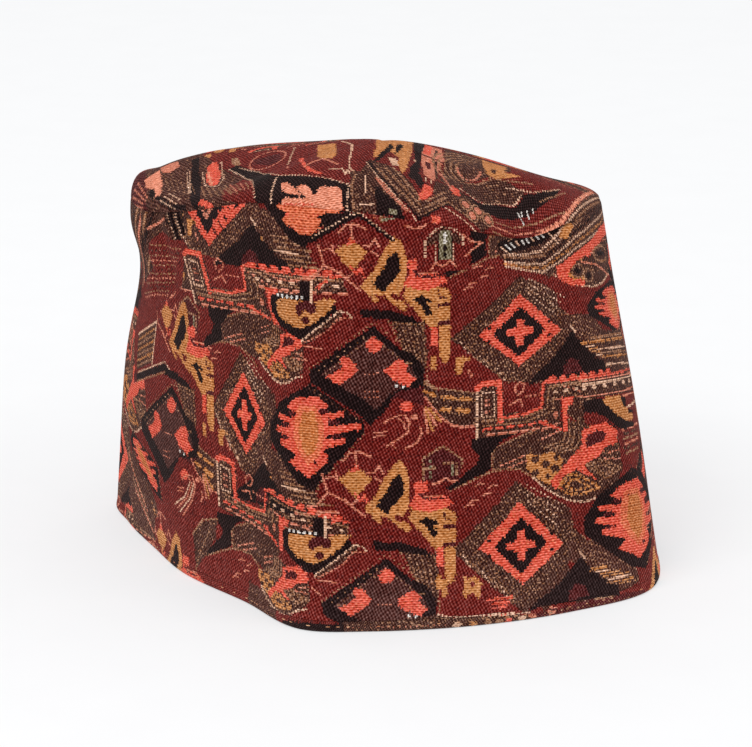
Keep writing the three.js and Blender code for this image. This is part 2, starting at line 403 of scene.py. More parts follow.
def bowl(loom):
    loom.fill("dark", (-36.6, 31), (-36, 25), (-32, 21), (-26, 17.6), (-21.6, 16.6), (-16, 20.6),
              (-9.6, 27.6), (-10.8, 30), (-19.4, 30), (-19.4, 37), (-23.4, 37), (-23.4, 32), (-34, 31.8))
    loom.fill("ochre", (-33.6, 30), (-33.2, 25.4), (-30.7, 23.1), (-25.7, 21), (-21.9, 20.8),
              (-18.1, 22.9), (-13.1, 26.9), (-10, 31.4), (-14.3, 31.4), (-17.5, 30.4), (-25.7, 30.6))
    loom.fill("plum", (-25.2, 28.4), (-22.8, 30), (-19, 30.6), (-16.8, 29.4), (-16.8, 27), (-18.4, 25.8),
              (-20.2, 26.6), (-21.4, 27), (-23.4, 25), (-25, 26.2))
    loom.spot("plum", -21, 23.6, 1.6, 1.4)
    for step in range(6):
        loom.spot("white", -33 + 2.1 * step, 31.2, 0.6)
    loom.line("cream", (-18.9, 30), (-18.9, 37.4), wide=0.8)
    loom.line("rose", (-22, 38), (-18, 39.4), (-14.2, 39))
    loom.line("coral", (-13.6, 37.8), (-16.6, 35.4))
    loom.line("umber", (-21.5, 16), (-9, 26), wide=2.2)
    loom.line("cream", (-23, 16.2), (-11, 25.8), (-8.8, 27.6), (-6, 26.8), (-4.8, 25.4), wide=0.6,
              dash=1.3, gap=0.4)
    loom.line("rose", (-23.2, 15.2), (-20, 16.6), (-13, 20.4), (-9.6, 24.8), (-4.8, 25.2), wide=0.6,
              dash=1, gap=0.6)
    loom.lines("rose", [(-22, 14.6), (-15, 14.2)], [(-24, 12), (-20.6, 9.4)], wide=0.5)


def waves(loom):
    # wavy stripes that lead from the comb to the bowl
    loom.fill("umber", (-50, 43), (-40, 39.4), (-30, 37.4), (-23, 38), (-23, 31.6), (-34, 31.6),
              (-41, 35), (-41, 24), (-50, 30))
    for step in range(4):
        drop = 2 * step
        yarn = "rose" if step % 2 == 0 else "tan"
        loom.line(yarn, (-50, 43.4 - drop), (-40, 39.8 - drop), (-33, 37.6 - drop), (-27, 37.2 - drop),
                  (-23, 37.8 - drop), wide=0.8, dash=1.4, gap=0.5 + 0.25 * step)
    loom.line("rose", (-27, 37.4), (-20, 39.2), wide=0.8)


def barredGround(loom):
    # brown ground with level bars of light yarn, beside the black hill
    loom.fill("umber", (-40, 57), (-31, 48), (-22, 46), (-22, 41), (-31, 38.6), (-36, 40), (-42, 48))
    for step in range(6):
        left = -38 + 1.6 * step
        loom.line("tan", (left, 51.4 - 1.9 * step), (left + 12 + (step % 3), 50.8 - 1.9 * step),
                  wide=0.7, dash=2.4, gap=0.4)
    loom.line("cream", (-36, 46.2), (-26, 45.8), wide=0.7)


def hillGround(loom):
    # speckled brown between the dotted diamond and the black hill, and under the leaf
    loom.fill("brown", (72, 103), (88, 102), (95, 97), (102, 90), (104, 85), (96, 82), (82, 82), (74, 96))
    for step in range(4):
        loom.line("tan", (75 + step, 103 - 1.8 * step), (89 + 1.6 * step, 98.6 - 3 * step), wide=0.5,
                  dash=0.6)
    for step, (start, reach) in enumerate(((81.4, 7), (82.8, 7), (85, 8.6), (86.4, 12), (88.4, 11),
                                           (91.4, 9), (93.4, 8.4))):
        # the hill's fringe
        loom.line("cream" if step % 3 == 1 else "ochre", (start, 92 - 1.15 * step),
                  (start + reach, 92 - 1.1 * step), wide=0.6, dash=3, gap=0.4)


def hill(loom):
    loom.fill("dark", (56, 79.6), (58, 82.4), (66, 87.2), (72, 91.6), (76.6, 96.6), (78.8, 96.4),
              (79.6, 94), (81.4, 93.4), (81.8, 91), (84.6, 90.6), (85, 88.4), (88, 88), (88.2, 86),
              (93.4, 85), (93.4, 81), (62, 81))
    loom.fill("plum", (71.6, 82), (72.4, 85), (75.6, 87.6), (79, 86.4), (80.4, 82.6))
    loom.line("cream", (77.4, 98.4), (79, 96.6))


def combGround(loom):
    loom.fill("umber", (15.5, 84), (20, 81.2), (34.6, 79.2), (35, 81), (38, 83), (45.6, 82.4), (45.6, 71),
              (56, 70.6), (63, 72.4), (63.6, 80.6), (66, 82), (98, 79.4), (98, 73.8), (76, 73), (70, 74),
              (69, 64), (60, 65), (48, 62.6), (34.6, 62.8), (34.6, 67.4), (27, 67.4), (22, 70.6),
              (15.5, 79))
    loom.fill("maroon", (45.6, 82), (61.4, 80), (61.4, 72.6), (46, 70.6))


def comb(loom):
    loom.line("tan", (15.6, 84), (20, 81.4), wide=1.2)
    loom.line("tan", (20.8, 81.6), (34.4, 79), wide=0.6, dash=1.6, gap=0.4)
    loom.lines("ochre", [(15.8, 81), (19.6, 78.8)], [(22, 78.5), (26, 77.8)], [(27.6, 77.6), (32.6, 77)],
               [(22, 74.2), (25, 73.8)], wide=1.3)
    loom.line("ochre", (27.8, 73.4), (31.6, 73), wide=1.9)
    loom.line("rose", (16, 79), (18, 76), (22, 71), (26, 68.2), (30, 67.4), (34.6, 67.6), wide=0.8,
              dash=1.6, gap=0.35)
    loom.line("cream", (34.9, 63.2), (34.9, 80.2), wide=1, dash=1.6, gap=0.3)
    loom.line("coral", (35, 80.6), (37.4, 82), (44, 82), (44.2, 68.4), wide=2)
    loom.line("cream", (36.8, 79), (41.6, 78.6), (41.6, 70.4), (36.6, 70.2), (36.8, 79), wide=0.7,
              dash=0.9, gap=0.5)
    for level in (72, 74.4, 76):
        loom.line("rose", (38, level), (40.2, level + 0.2), wide=0.7, dash=0.9, gap=0.4)
    loom.line("coral", (45, 69.4), (55, 70), (61.6, 71.8), (62.6, 79.8), (66, 81), wide=1.1)
    loom.lines("tan", [(37, 69), (54, 68.8), (64, 71), (65.2, 78.6), (98, 78.2)],
               [(37, 67.4), (54, 67.2), (66.4, 69.8), (67.4, 76.4)], wide=0.7, dash=1.2, gap=0.4)
    for step in range(6):
        x = 37.6 + 4.6 * step
        rise = 0.08 * step
        loom.line("coral", (x, 65.8 + rise), (x + 2.8, 66 + rise))
        loom.line("rose", (x + 1.2, 63.8 + rise), (x + 4.2, 64 + rise))
    for step in range(7):
        x = 67 + 4.6 * step
        loom.spot("coral", x, 81, 1.7, 0.9)
        loom.spot("cream", x + 1, 76.4, 1, 0.55)
        loom.line("rose", (x + 1, 73.8), (x + 3.4, 73.8), wide=0.7)
    loom.line("coral", (64, 80), (98, 79.8), wide=0.8)
    loom.fill("coral", (70.4, 74), (75.8, 73.8), (75, 71.4), (72.8, 71), (72.6, 62), (70.4, 62))
    loom.spot("rose", 67.6, 68.4, 1, 1.3)
    loom.line("coral", (60.6, 66.4), (69.6, 63), wide=1)
    loom.lines("rose", [(50.6, 77.6), (50.4, 79.8), (52.6, 81.4), (54.6, 80.2), (53.6, 78), (51.4, 76.8)],
               [(48, 73.6), (52.4, 75.4), (53.4, 73)], wide=0.6)
    loom.line("rose", (54.4, 76), (60.6, 76), wide=0.6, dash=1.2, gap=0.8)


def blackStep(loom):
    loom.fill("dark", (33, 63), (49.4, 63.4), (44, 60.8), (40.6, 57.6), (40.4, 51.6), (33, 48.6),
              (25, 45.4), (23.4, 46.6), (30, 50), (32.6, 52.6), (35, 54), (36, 57), (33, 60))


def feather(loom):
    loom.fill("umber", (41, 51), (40.8, 57.4), (43, 59.6), (50, 62), (58, 64.6), (70, 66), (72, 60),
              (70, 54), (60, 47), (52, 50.6), (45, 51))
    loom.line("tan", (41.2, 51), (40.9, 57.4), (43, 59.6), (50, 61.6), (60, 64.4), wide=0.8, dash=0.9,
              gap=0.5)
    for step in range(8):
        x = 43 + 2.1 * step
        loom.line("brown", (x, 51.4), (x, 59 + 0.5 * step), wide=0.7, dash=0.8, gap=0.8)
    loom.lines("rose", [(44, 52.4), (54, 55.4)], [(47, 51.4), (55, 53.6)], wide=0.6, dash=1.4, gap=0.4)
    loom.line("tan", (25, 45.4), (33, 48.2), (40.4, 50.8), (46, 51.2), (52, 50.6), (57, 47.4), (61, 44),
              wide=0.7, dash=1.1, gap=0.4)


def swirl(loom):
    loom.fill("umber", (60, 56), (62, 63), (72, 66), (80, 64), (96, 58), (97, 46), (93, 41), (84, 37.4),
              (77, 36), (70, 38), (63, 42.6), (57, 48))
    loom.fill("ochre", (54.6, 56), (55, 51), (60, 46), (64, 44), (68, 47.6), (70.6, 52), (66, 55.6),
              (60, 54.6))
    for x, y, wide in ((58.4, 53.4, 1.7), (62.6, 51.2, 1.9), (58.6, 48.8, 1.6), (66.6, 49.4, 2),
                       (63.4, 47, 1.2), (67.4, 53, 1.4)):
        loom.spot("umber", x, y, wide, wide * 0.7)
    loom.fill("coral", (64.4, 45), (68.4, 48.4), (75, 53.6), (78.4, 56.6), (78.6, 61.6), (85, 62.8),
              (90, 63.6), (96, 60.4), (95.4, 55.6), (89, 54.6), (86.4, 52), (79, 49.4), (81, 46.6),
              (85, 43), (80, 45.4), (76, 48), (71, 46.6), (68.6, 44.6), (69.6, 41.6), (66, 42.6))
    loom.fill("plum", (80.4, 55), (80.8, 59.8), (86, 61), (90, 59.4), (88.6, 57), (84.4, 56.2))
    for step in range(4):
        x = 71.4 + 1.9 * step
        loom.line("tan", (62 + 2.4 * step, 57 - 0.8 * step), (x - 1, 59 - step), (x, 61 - step), (x, 66),
                  wide=0.7, dash=1.3, gap=0.35)
    loom.lines("rose", [(61, 63.4), (69, 65.4)], [(61, 60.4), (69, 62.6)], wide=0.7, dash=1.2, gap=0.4)
    for size in (1, 0.55):         # two loops of thread below the slab
        x, y = 75, 42.6
        loom.line("ochre", (x - 7 * size, y), (x - 3 * size, y + 4 * size),
                  (x + 2 * size, y + 3.2 * size), (x + 10 * size, y - 2 * size),
                  (x + 2 * size, y - 3.4 * size), (x - 4 * size, y - 2.6 * size), (x - 7 * size, y),
                  dash=1.6, gap=0.4)
        x, y = 88, 46.4
        loom.line("tan", (x - 8 * size, y + 3 * size), (x, y + 3.4 * size), (x + 8 * size, y),
                  (x, y - 3 * size), (x - 8 * size, y + 3 * size), wide=0.8, dash=1.1, gap=0.5)
    loom.line("cream", (57, 47.4), (62, 43), (67, 39.8), (72, 37.4), (78, 36.2), (84, 37.2), (90, 40.2),
              (95, 41.2), wide=0.8, dash=1, gap=0.5)
    loom.lines("rose", [(90, 52.4), (96, 53)], [(88, 50.6), (96, 49.6)], wide=0.6, dash=1.3, gap=0.5)


def hut(loom):
    loom.fill("plum", (17, 51), (17, 59.4), (24, 63), (31, 58.4), (30, 51))
    loom.line("tan", (17, 52), (16.8, 59.8), (18.4, 60.4), (24, 63.6), (31.2, 58.4), (30.8, 56), wide=0.8,
              dash=1.2, gap=0.4)
    loom.line("tan", (17.6, 56), (21, 56.2), wide=1.2)
    loom.line("green", (19.4, 52.4), (19.6, 59), dash=1, gap=0.8)
    loom.line("tan", (24.2, 57.6), (29.2, 57.2), (29, 53.6), dash=1, gap=0.4)
    loom.line("green", (27.6, 56.6), (27.6, 53.4))
    loom.line("rose", (20.4, 50.4), (22.6, 51), (25, 52.4), (27.4, 50.8), (29, 51.4), wide=0.8)


def greenHut(loom):
    # stands in the upper row alone, under loops of thread that run along the seam
    loom.fill("maroon", (13, 122), (33, 122), (33, 138), (41, 138), (41, 152), (0, 152), (-1, 142),
              (6, 134), (13, 135))
    loom.fill("umber", (15.8, 130.4), (16, 132.8), (20, 136), (23, 137), (26, 135.8), (29.4, 133),
              (29, 130.8), (26, 132.4), (20, 132.4))
    loom.fill("green", (20.8, 125.8), (20.8, 132.6), (21.4, 136), (25, 136), (25.4, 132.6), (25.4, 125.8))
    for level in (127.6, 130, 132.4, 134.4):
        loom.spot("white" if level > 130 else "dark", 23.1, level, 0.7, 0.9)
    for x in (20.6, 25.6):
        loom.line("dark", (x, 126), (x, 133), wide=0.7)
        loom.line("cream", (x + (-0.8 if x < 23 else 0.8), 125.4), (x + (-0.8 if x < 23 else 0.8), 131.4),
                  wide=0.5, dash=0.9, gap=0.4)
    loom.line("cream", (16, 127), (16, 133), (20, 136.6), (23, 137.6), (26.4, 136.4), (30, 133.4),
              (30, 130.6), wide=0.6, dash=0.9, gap=0.4)
    loom.lines("rose", [(18, 122.6), (19.8, 125.2), (22.4, 123.6), (25, 125.6), (27.4, 123.2)],
               [(30, 134.4), (33, 131.6), (38, 130.8), (33.4, 128.6), (31, 126.6)],
               [(9, 138.4), (12, 137.2), (15, 137.6), (19, 140.6), (26, 141.6)], wide=0.7)
    loom.line("tan", (1, 139.6), (0.4, 141.2), (3, 142.6), (9, 142.6), (20, 145), wide=0.8)
    loom.line("green", (1.6, 140.4), (6, 141.4), (12, 142.4), wide=1)
    loom.spot("coral", 22, 143.4, 2, 1)


def curls(loom):
    loom.lines("rose", [(2, 70.4), (3.2, 71.4), (8, 73)], [(6.8, 71.6), (8.6, 70), (9.2, 67.6)],
               [(9, 72.6), (10.6, 70.4), (10, 66.6), (7, 64.6), (2.6, 62)], [(9.6, 71.4), (11, 69)],
               wide=0.6)
    loom.line("rose", (14.4, 68.2), (15, 66), (13, 62.6), (9.4, 61), wide=0.7)
    loom.lines("rose", [(-1.6, 66.6), (2.8, 67.2)], [(-1.8, 65.4), (2.6, 66)], [(4, 63.2), (6, 61)],
               wide=0.5)
    loom.spot("rose", 12.4, 71.8, 1.3, 1)
    for step in range(4):          # a fan of threads
        loom.line("ochre" if step % 2 else "rose", (15.7 + 0.5 * step, 74.8),
                  (17.2 + 1.5 * step, 65.8 + 1.3 * step))
    for x, y in ((36, 46.6), (33.6, 41), (32, 39.6), (41, 45.6), (38.6, 43)):
        loom.line("rose", (x - 1.6, y - 0.4), (x, y + 0.5), (x + 1.8, y + 0.2), wide=0.5)


def speckGround(loom):
    # speckled brown that joins the dotted diamond, the hill and the leaf
    loom.fill("brown", (-58, 84), (-47, 82), (-40, 78), (-38, 66), (-42, 58), (-38, 50), (-52, 42),
              (-62, 50), (-60, 60))


def topDots(loom):
    # the leaf at the top with its black edge, dotted down to the eye
    loom.fill("amber", (-38, 148), (-38, 143.5), (-34.5, 142), (-31.5, 141.6), (-35.5, 139.6), (-35, 138),
              (-31, 137), (-28.5, 134.6), (-26, 134.2), (-23, 135.4), (-20.5, 138), (-20, 140),
              (-21.5, 141.4), (-18, 142), (-13, 142.6), (-12, 148))
    # right of the flower
    loom.fill("dark", (-19, 142.4), (-10.6, 142.8), (-11, 140), (-17.6, 137), (-20, 139.4))
    loom.line("dark", (-24, 133), (-7.6, 142.6), wide=2.2)
    loom.line("dark", (-7.6, 143), (4.6, 133.8), wide=1.4)
    loom.lines("cream", [(-23.4, 133.8), (-10, 142), (-6.6, 143)], [(-6.6, 143), (4.8, 134)], wide=0.6,
               dash=0.7, gap=0.7)


def leftPleats(loom):
    # threads drawn together at the left top, above a plain stretch with faint streaks
    loom.fill("maroon", (-146, 128), (-92, 128), (-89, 119), (-92, 110), (-104, 104), (-112, 98),
              (-136, 94), (-150, 100))
    for step in range(12):
        loom.line(("rose", "tan", "brown", "tan")[step % 4], (-140 + 2 * step, 98 + 2.2 * step),
                  (-118 + 2 * step, 103 + 1.8 * step), (-104 + 1.2 * step, 104.6 + 1.7 * step), wide=0.6,
                  dash=1.2 + 0.2 * (step % 3))
    loom.fill("umber", (-136, 150), (-86, 150), (-88, 129), (-94, 125.6), (-104, 128), (-112, 124),
              (-122, 112), (-138, 104), (-148, 112), (-150, 128))
    for step in range(7):          # folds down the left side
        yarn = ("dark", "tan", "brown", "dark", "rose", "tan", "dark")[step]
        loom.line(yarn, (-106 - 3 * step, 150), (-111 - 4 * step, 131 - step),
                  (-124 - 4 * step, 112 - 2 * step), wide=1.3)
    loom.fill("dark", (-101, 138), (-88, 139), (-86.4, 132), (-90, 126.4), (-94, 126.6), (-100, 133))
    for step in range(5):          # dotted folds beside the coral point
        loom.line("cream" if step % 2 else "tan", (-100.6 + 2.6 * step, 136 + 0.5 * step),
                  (-94.6 + 2 * step, 126.6 + 0.5 * step), wide=0.6, dash=0.9, gap=0.4)
    loom.line("rose", (-113, 128), (-101, 133), wide=1)
    loom.fill("dark", (-90, 149), (-73, 130.8), (-55.6, 149))
    for step in range(4):          # the coral point's inner edge is stepped
        loom.bar("coral", -78.6 - 3 * step, 134.4 + 3.2 * step, -76.6 - 3 * step, 136.2 + 3.2 * step)
        loom.bar("coral", -69.6 + 3 * step, 134.4 + 3.2 * step, -67.6 + 3 * step, 136.2 + 3.2 * step)
        for way in (-1, 1):        # and its arms are notched
            x, y = -73 + way * (3.4 + 2.8 * step), 133 + 2.9 * step
            loom.line("dark", (x, y), (x + 2.2 * way, y - 2.2), wide=0.7)
    loom.line("rose", (-77, 141.6), (-73.4, 136.6), (-70, 140.6), wide=1.7, dash=1.6, gap=0.5)


def leftSide(loom):
    # a striped box and a dark strip at the far left, and brown ground under the leaf
    loom.fill("maroon", (-144, 99), (-121, 99), (-113, 90), (-112, 80), (-118, 70), (-126, 64),
              (-130, 70), (-142, 70), (-150, 86))
    loom.fill("umber", (-141, 84), (-117, 92.6), (-120, 77.4), (-139, 71))
    for step in range(6):
        loom.line("tan" if step % 2 else "ochre", (-139.6, 82.4 - 2 * step), (-119, 90 - 2.2 * step),
                  wide=0.8, dash=1.6, gap=0.6)
    loom.line("cream", (-141, 84.4), (-117, 93), (-120, 77), wide=0.8)
    loom.line("dark", (-138, 68.6), (-107, 78), wide=2.6)
    loom.line("cream", (-137.6, 70.4), (-107, 79.8), (-103, 77.6), wide=0.6, dash=1.2, gap=0.4)
    loom.line("tan", (-138.6, 66.8), (-107, 76), wide=0.7, dash=1.6, gap=0.4)
    loom.fill("brown", (-152, 34), (-146, 40), (-126, 22), (-124, 16), (-128, 9), (-146, 9), (-156, 20))
    for step in range(6):
        loom.line(("tan", "rose", "umber")[step % 3], (-158 + 3 * step, 40 - 4 * step),
                  (-135 + 2 * step, 21 - 2.4 * step), dash=2, gap=0.5)
    loom.fill("maroon", (-97, 32), (-80, 32), (-79, 17), (-97, 17))
    loom.fill("umber", (-90, 18.8), (-83.8, 25), (-75, 27), (-76.3, 20), (-85, 10), (-89, 6))
    loom.line("tan", (-90.4, 19), (-84, 25.4), (-75, 27.4), wide=0.6)
    loom.line("tan", (-89.4, 6), (-86, 13), (-80, 22), wide=0.6, dash=1.2, gap=0.4)
    for step in range(4):
        loom.line("cream" if step % 2 else "rose", (-87 - 1.2 * step, 38), (-89.4 - 1.8 * step, 32),
                  (-94 - 2 * step, 27.4 + 0.6 * step), (-96.6 - 2 * step, 24.6 + step), wide=0.6)


def rightLip(loom):
    # the rolled edge at the right top: a pocket in painted shade, stripes that run with the roll with a
    # painted highlight on it, and a coral arm below it
    loom.fill("umber", (46, 124.6), (52, 122), (58, 120.6), (65, 117.6), (70, 116), (74, 118), (80, 122),
              (96, 127), (110, 132), (130, 134), (130, 152), (110, 152), (96, 147), (82, 141), (61, 135),
              (46, 132.5))
    for step in range(6):
        yarn = ("cream", "tan", "dark", "cream", "ochre", "cream")[step]
        loom.line(yarn, (47.6, 125.8 - 0.8 * step), (58, 125 - 1.1 * step), (66, 125.6 - 1.5 * step),
                  (75, 130.4 - 1.8 * step), (84, 135.4 - 2 * step), (96, 139.8 - 2.2 * step),
                  (128, 146 - 2.2 * step), dash=0.8, gap=0.5)
    # painted shade: the pocket under the lip is filled dark, and its stitches are drawn on it
    loom.fill("dark", (46, 130.4), (50, 131), (62, 131.6), (73, 135), (83, 138), (84, 136.6), (76, 131.6),
              (68, 128.2), (58, 126.4), (47.6, 126.8))
    for step in range(9):
        loom.line("white" if step % 3 else "cream", (48 + 2.5 * step, 128.4 + 0.4 * step),
                  (49.6 + 2.5 * step, 126.9 + 0.4 * step), wide=0.7)
        loom.line("tan", (51 + 3 * step, 130.4 + 0.6 * step), (53 + 3 * step, 130.6 + 0.6 * step), wide=0.5)
    # painted highlight on the roll: a patch of ochre
    loom.fill("ochre", (76, 129.6), (79, 132.8), (84.6, 136), (84.6, 133.4), (79, 129))
    loom.line("cream", (71.8, 132.6), (74.6, 127.8), wide=0.7)
    loom.fill("coral", (73, 119.4), (85, 124.2), (96, 127.8), (110, 132.6), (130, 135), (130, 130.6),
              (110, 128.2), (96, 123.8), (85, 121), (79, 117), (80, 115), (88, 114), (88, 111.8),
              (80, 112.6), (74, 115.6))
    loom.fill("umber", (80.4, 116.8), (86, 120.2), (98, 123.6), (114, 127.4), (116, 118), (104, 113.6),
              (90, 112.6), (88.6, 114.6))
    for x, y, wide in ((105, 122.8, 8), (84.6, 117.4, 3.4), (91, 115.4, 3)):
        ring(loom, "tan", x, y, wide, 2 + 0.1 * wide, wide=0.7, dash=1.2, gap=0.3)
        loom.spot("dark", x, y, wide * 0.6, 1)
    loom.line("rose", (87, 120.4), (98, 119), (112, 114.6), wide=0.8, dash=1.4, gap=0.3)


def rightSide(loom):
    # striped ground under the leaf at the far right, and coral bars at the rim
    loom.fill("umber", (92, 95.6), (119, 94.6), (132, 80), (124, 74), (112, 74), (98, 79), (95, 85),
              (86, 94))
    for step in range(8):
        loom.line(("tan", "ochre", "umber", "cream")[step % 4], (86.4 + 1.1 * step, 93.4 - 1.4 * step),
                  (118 + 1.2 * step, 93.6 - 1.6 * step), wide=0.7, dash=4, gap=0.6)
    for step in range(3):
        loom.line("coral", (38.6 + step, 5.2 - 1.5 * step), (47.6 - step, 5.6 - 1.5 * step))
    loom.fill("maroon", (86, 72.6), (129, 72.6), (117, 50), (101, 50), (97.4, 57.4), (96.2, 60.4),
              (90.4, 63.6), (86, 64.6))
    for step in range(6):          # streaks right of the swirl
        loom.line(("rose", "umber", "tan")[step % 3], (99 + step % 2, 59.6 - 1.7 * step),
                  (120 - 1.3 * step, 60.6 - 1.7 * step), dash=5, gap=0.8)
    loom.fill("umber", (94, 80.4), (133, 80.4), (128, 72.4), (80, 72.4), (80, 79))
    for level, yarn in ((80, "coral"), (78.7, "rose"), (77.6, "cream"), (73.3, "rose")):
        loom.line(yarn, (80, level), (100, level - 0.1), (81.6 + 0.62 * level, level + 0.5), wide=0.7,
                  dash=3, gap=0.4)
    for x, reach in ((80.8, 1), (85.8, 1.1), (91.4, 1.2), (98.3, 1.5), (107, 2.2), (117, 2.4)):
        loom.spot("cream", x, 76.2, reach, 0.7)
    loom.fill("dark", (80, 72.2), (88.4, 72.2), (94, 68), (100, 63.6), (106, 62), (114, 61.6),
              (112, 60.2), (101, 59.6), (96, 61), (91, 64.6), (86, 67), (80, 68))
    loom.fill("ochre", (89.4, 71.2), (93, 72.3), (101.6, 71.8), (103, 68.4), (108, 66.4), (114, 64),
              (112, 62.4), (104, 62.4), (96, 65.6))
    loom.fill("dark", (101.6, 70.8), (106.4, 70.8), (106, 67.8), (103, 67.4))
    loom.line("dark", (107.8, 65.8), (114, 65.4), wide=1.2)
    loom.line("rose", (104, 71.6), (127, 71.8), wide=0.8)
    loom.line("cream", (106, 67.2), (124, 68.6), wide=0.8)


def rimStrip(loom):
    # the border along the rim: a dotted edge, beads on brown, plum to the right, and a paw above it
    loom.fill("maroon", (28.6, 14.6), (33, 14.6), (35.4, 12), (35.4, 7.4), (28.6, 7.4))
    loom.fill("ochre", (29.7, 14.6), (32, 13.2), (34, 14.4), (36.4, 11.6), (36, 8.8), (35.5, 5.9),
              (34.2, 7), (33.2, 8.4), (31.6, 8.2), (30.9, 6.4), (29.8, 7), (30.2, 10.4))
    loom.spot("maroon", 33.2, 11.5, 0.9)
    loom.fill("ochre", (21.6, 14), (24.4, 14), (24.2, 11.6), (23.4, 10.6), (24.4, 9), (23.8, 7.4),
              (22.2, 7.4), (21.8, 10))
    loom.fill("dark", (-36, -1.8), (-12, -1.4), (-12, -8), (-36, -8))
    loom.fill("umber", (-12, -0.6), (6, 0), (20, 1.4), (24, 0), (29, -0.6), (48, -0.9), (53, -1.6),
              (58, -2.2), (58, -8), (-12, -8))
    loom.fill("plum", (57, -1.4), (74, 0.4), (104, 1), (104, -8), (57, -8))
    loom.line("cream", (20.4, 1.6), (24, 0.4), (29, -0.2), (38, -0.4), (48, -0.5), (54, -0.9), wide=0.7,
              dash=1, gap=0.4)
    loom.line("tan", (20, 0.2), (29, -1.3), (48, -1.5), (56, -2.2), wide=0.5, dash=0.8, gap=0.7)
    for x, yarn in ((27.5, "cream"), (33.4, "ochre"), (38.7, "tan"), (43, "tan"), (46.4, "coral"),
                    (51.6, "cream"), (55.6, "peach"), (63, "rose")):
        loom.spot(yarn, x, -3 + 0.015 * max(x - 43, 0) ** 1.5, 1.5, 0.9)
    for level, yarn in ((-1.6, "tan"), (-3, "rose")):
        loom.line(yarn, (-11, level), (25, level + 0.4), wide=0.5, dash=0.7, gap=1.3)
        loom.line(yarn, (60, level), (104, level + 1), wide=0.5, dash=0.7, gap=1.5)


# Each motif with its middle and its copies in view, which stand a little off the even repeat: cells from
# where it is drawn, then how far it is drawn out sideways, leans, is drawn out upwards and slopes
combPlaces = [(0, 0), (2.5, -83.4), (-108.4, -34, 1, 0, 1, -0.22), (-118.2, 41.2, 1.2, -0.35)]
hillPlaces = [(0, 0), (-2, -80), (-124, -44), (-127, 40)]
leafPlaces = [(0, 0), (127.5, -37.5, 1.45), (137, 38.2, 1.45, 0, 0.55), (-3.5, 84), (0, -86),
              (-107.5, -28.5, 0.8, -0.8, 0.55)]
motifs = [
    (speckGround, (-50, 63), [(0, 0), (-8, 76)]),
    (dottedGround, (51, 24.5), [(0.5, -0.7), (2.7, 74.2, 1.12, 0.12, 0.84), (-108.2, 43.5, 0.7),
                                (-125.2, 113.5), (-112, -53)]),
    (combGround, (50, 73), combPlaces),
    (hillGround, (85, 92), hillPlaces),
    (barredGround, (-31, 47), [(0, 0), (-3, 82)]),
    (waves, (-36, 36), [(0, 0), (-5, 81), (121, 39)]),
    (feather, (55, 56), [(0, 0), (0, 74.5), (-110, 42), (-108, -33)]),
    (swirl, (76, 50), [(0, 0), (13.7, 75, 1.45), (-113.6, -40.4, 0.65, 0, 0.67),
                       (-113.8, 41.5, 0.55, 0, 0.68)]),
    (darkDiamondGround, (5, 95), [(0, 0), (4.4, -81.6), (-102, -32), (134, 33), (132, -43)]),
    (leafGround, (-24, 65), leafPlaces),
    (hill, (76, 88), hillPlaces),
    (blackStep, (37, 55), [(0, 0), (-1, 74.5), (-108, 42), (-108, -33)]),
    (comb, (50, 73), combPlaces),
    (coralDiamond, (51, 24.5), [(0.5, -0.7), (2.7, 74.2, 1.12, 0.12, 0.84), (-108.2, 43.5, 0.7),
                                (-124, 121.5, 1.3, 0, 1.38), (-112, -53)]),
    (leaf, (-24, 65), leafPlaces),
    (darkDiamond, (-3, 87), [(0, 0), (4.4, -81.6), (-104.2, -34.2, 1.25, 0.25, 1.1), (134, 33),
                             (132, -43)]),
    (curls, (8, 68), [(0, 0), (-98, -32)]),
    (hut, (24, 56), [(-1.5, -2.5)]),
    (bowl, (-21.5, 25.5), [(0.5, -0.3), (-4.5, 81.6), (123.2, 41.5), (-109.4, 58.5)]),
    (smallDiamond, (-8, 50), [(0, 0), (-1.4, 78.9), (-98, 47), (-110, -38.8), (132, 33), (132, -43)]),
    (eye, (3, 121), [(0, 0), (1.3, -77.6), (-97.4, -30), (-108.6, -117.2)]),
    (figure, (19, 108), [(0, 0), (2, -77.7), (-99, -31), (-108.6, -117.2)]),
]
# those that stand in one place only
bandMotifs = [greenHut, topDots, leftPleats, leftSide, rightLip, rightSide, rimStrip]


def weaveRepeat(loom, shift=(0, 0), measured=True):
    along, up = chart["repeat"]
    wide, high = chart["copies"]
    for motif, middle, seen in motifs:
        places = list(seen) if measured else []
        for step in range(-wide, wide + 1):
            for rise in range(-high, high + 1):
                place = (along * step, up * step + chart["tall"] * rise)
                near = [np.hypot(place[0] - spot[0], place[1] - spot[1]) for spot in places]
                if all(apart > chart["apart"] for apart in near):
                    places.append(place)
        for across, rise, *drawn in places:
            loom.stand(middle, (across + shift[0], rise + shift[1]), *drawn)
            motif(loom)
    loom.stand()


# The crown's cloth, in cells from its peak to the right and to the back
crownChart = {"fine": 2, "left": -120, "right": 110, "low": -60, "high": 150, "shift": (30, -20)}


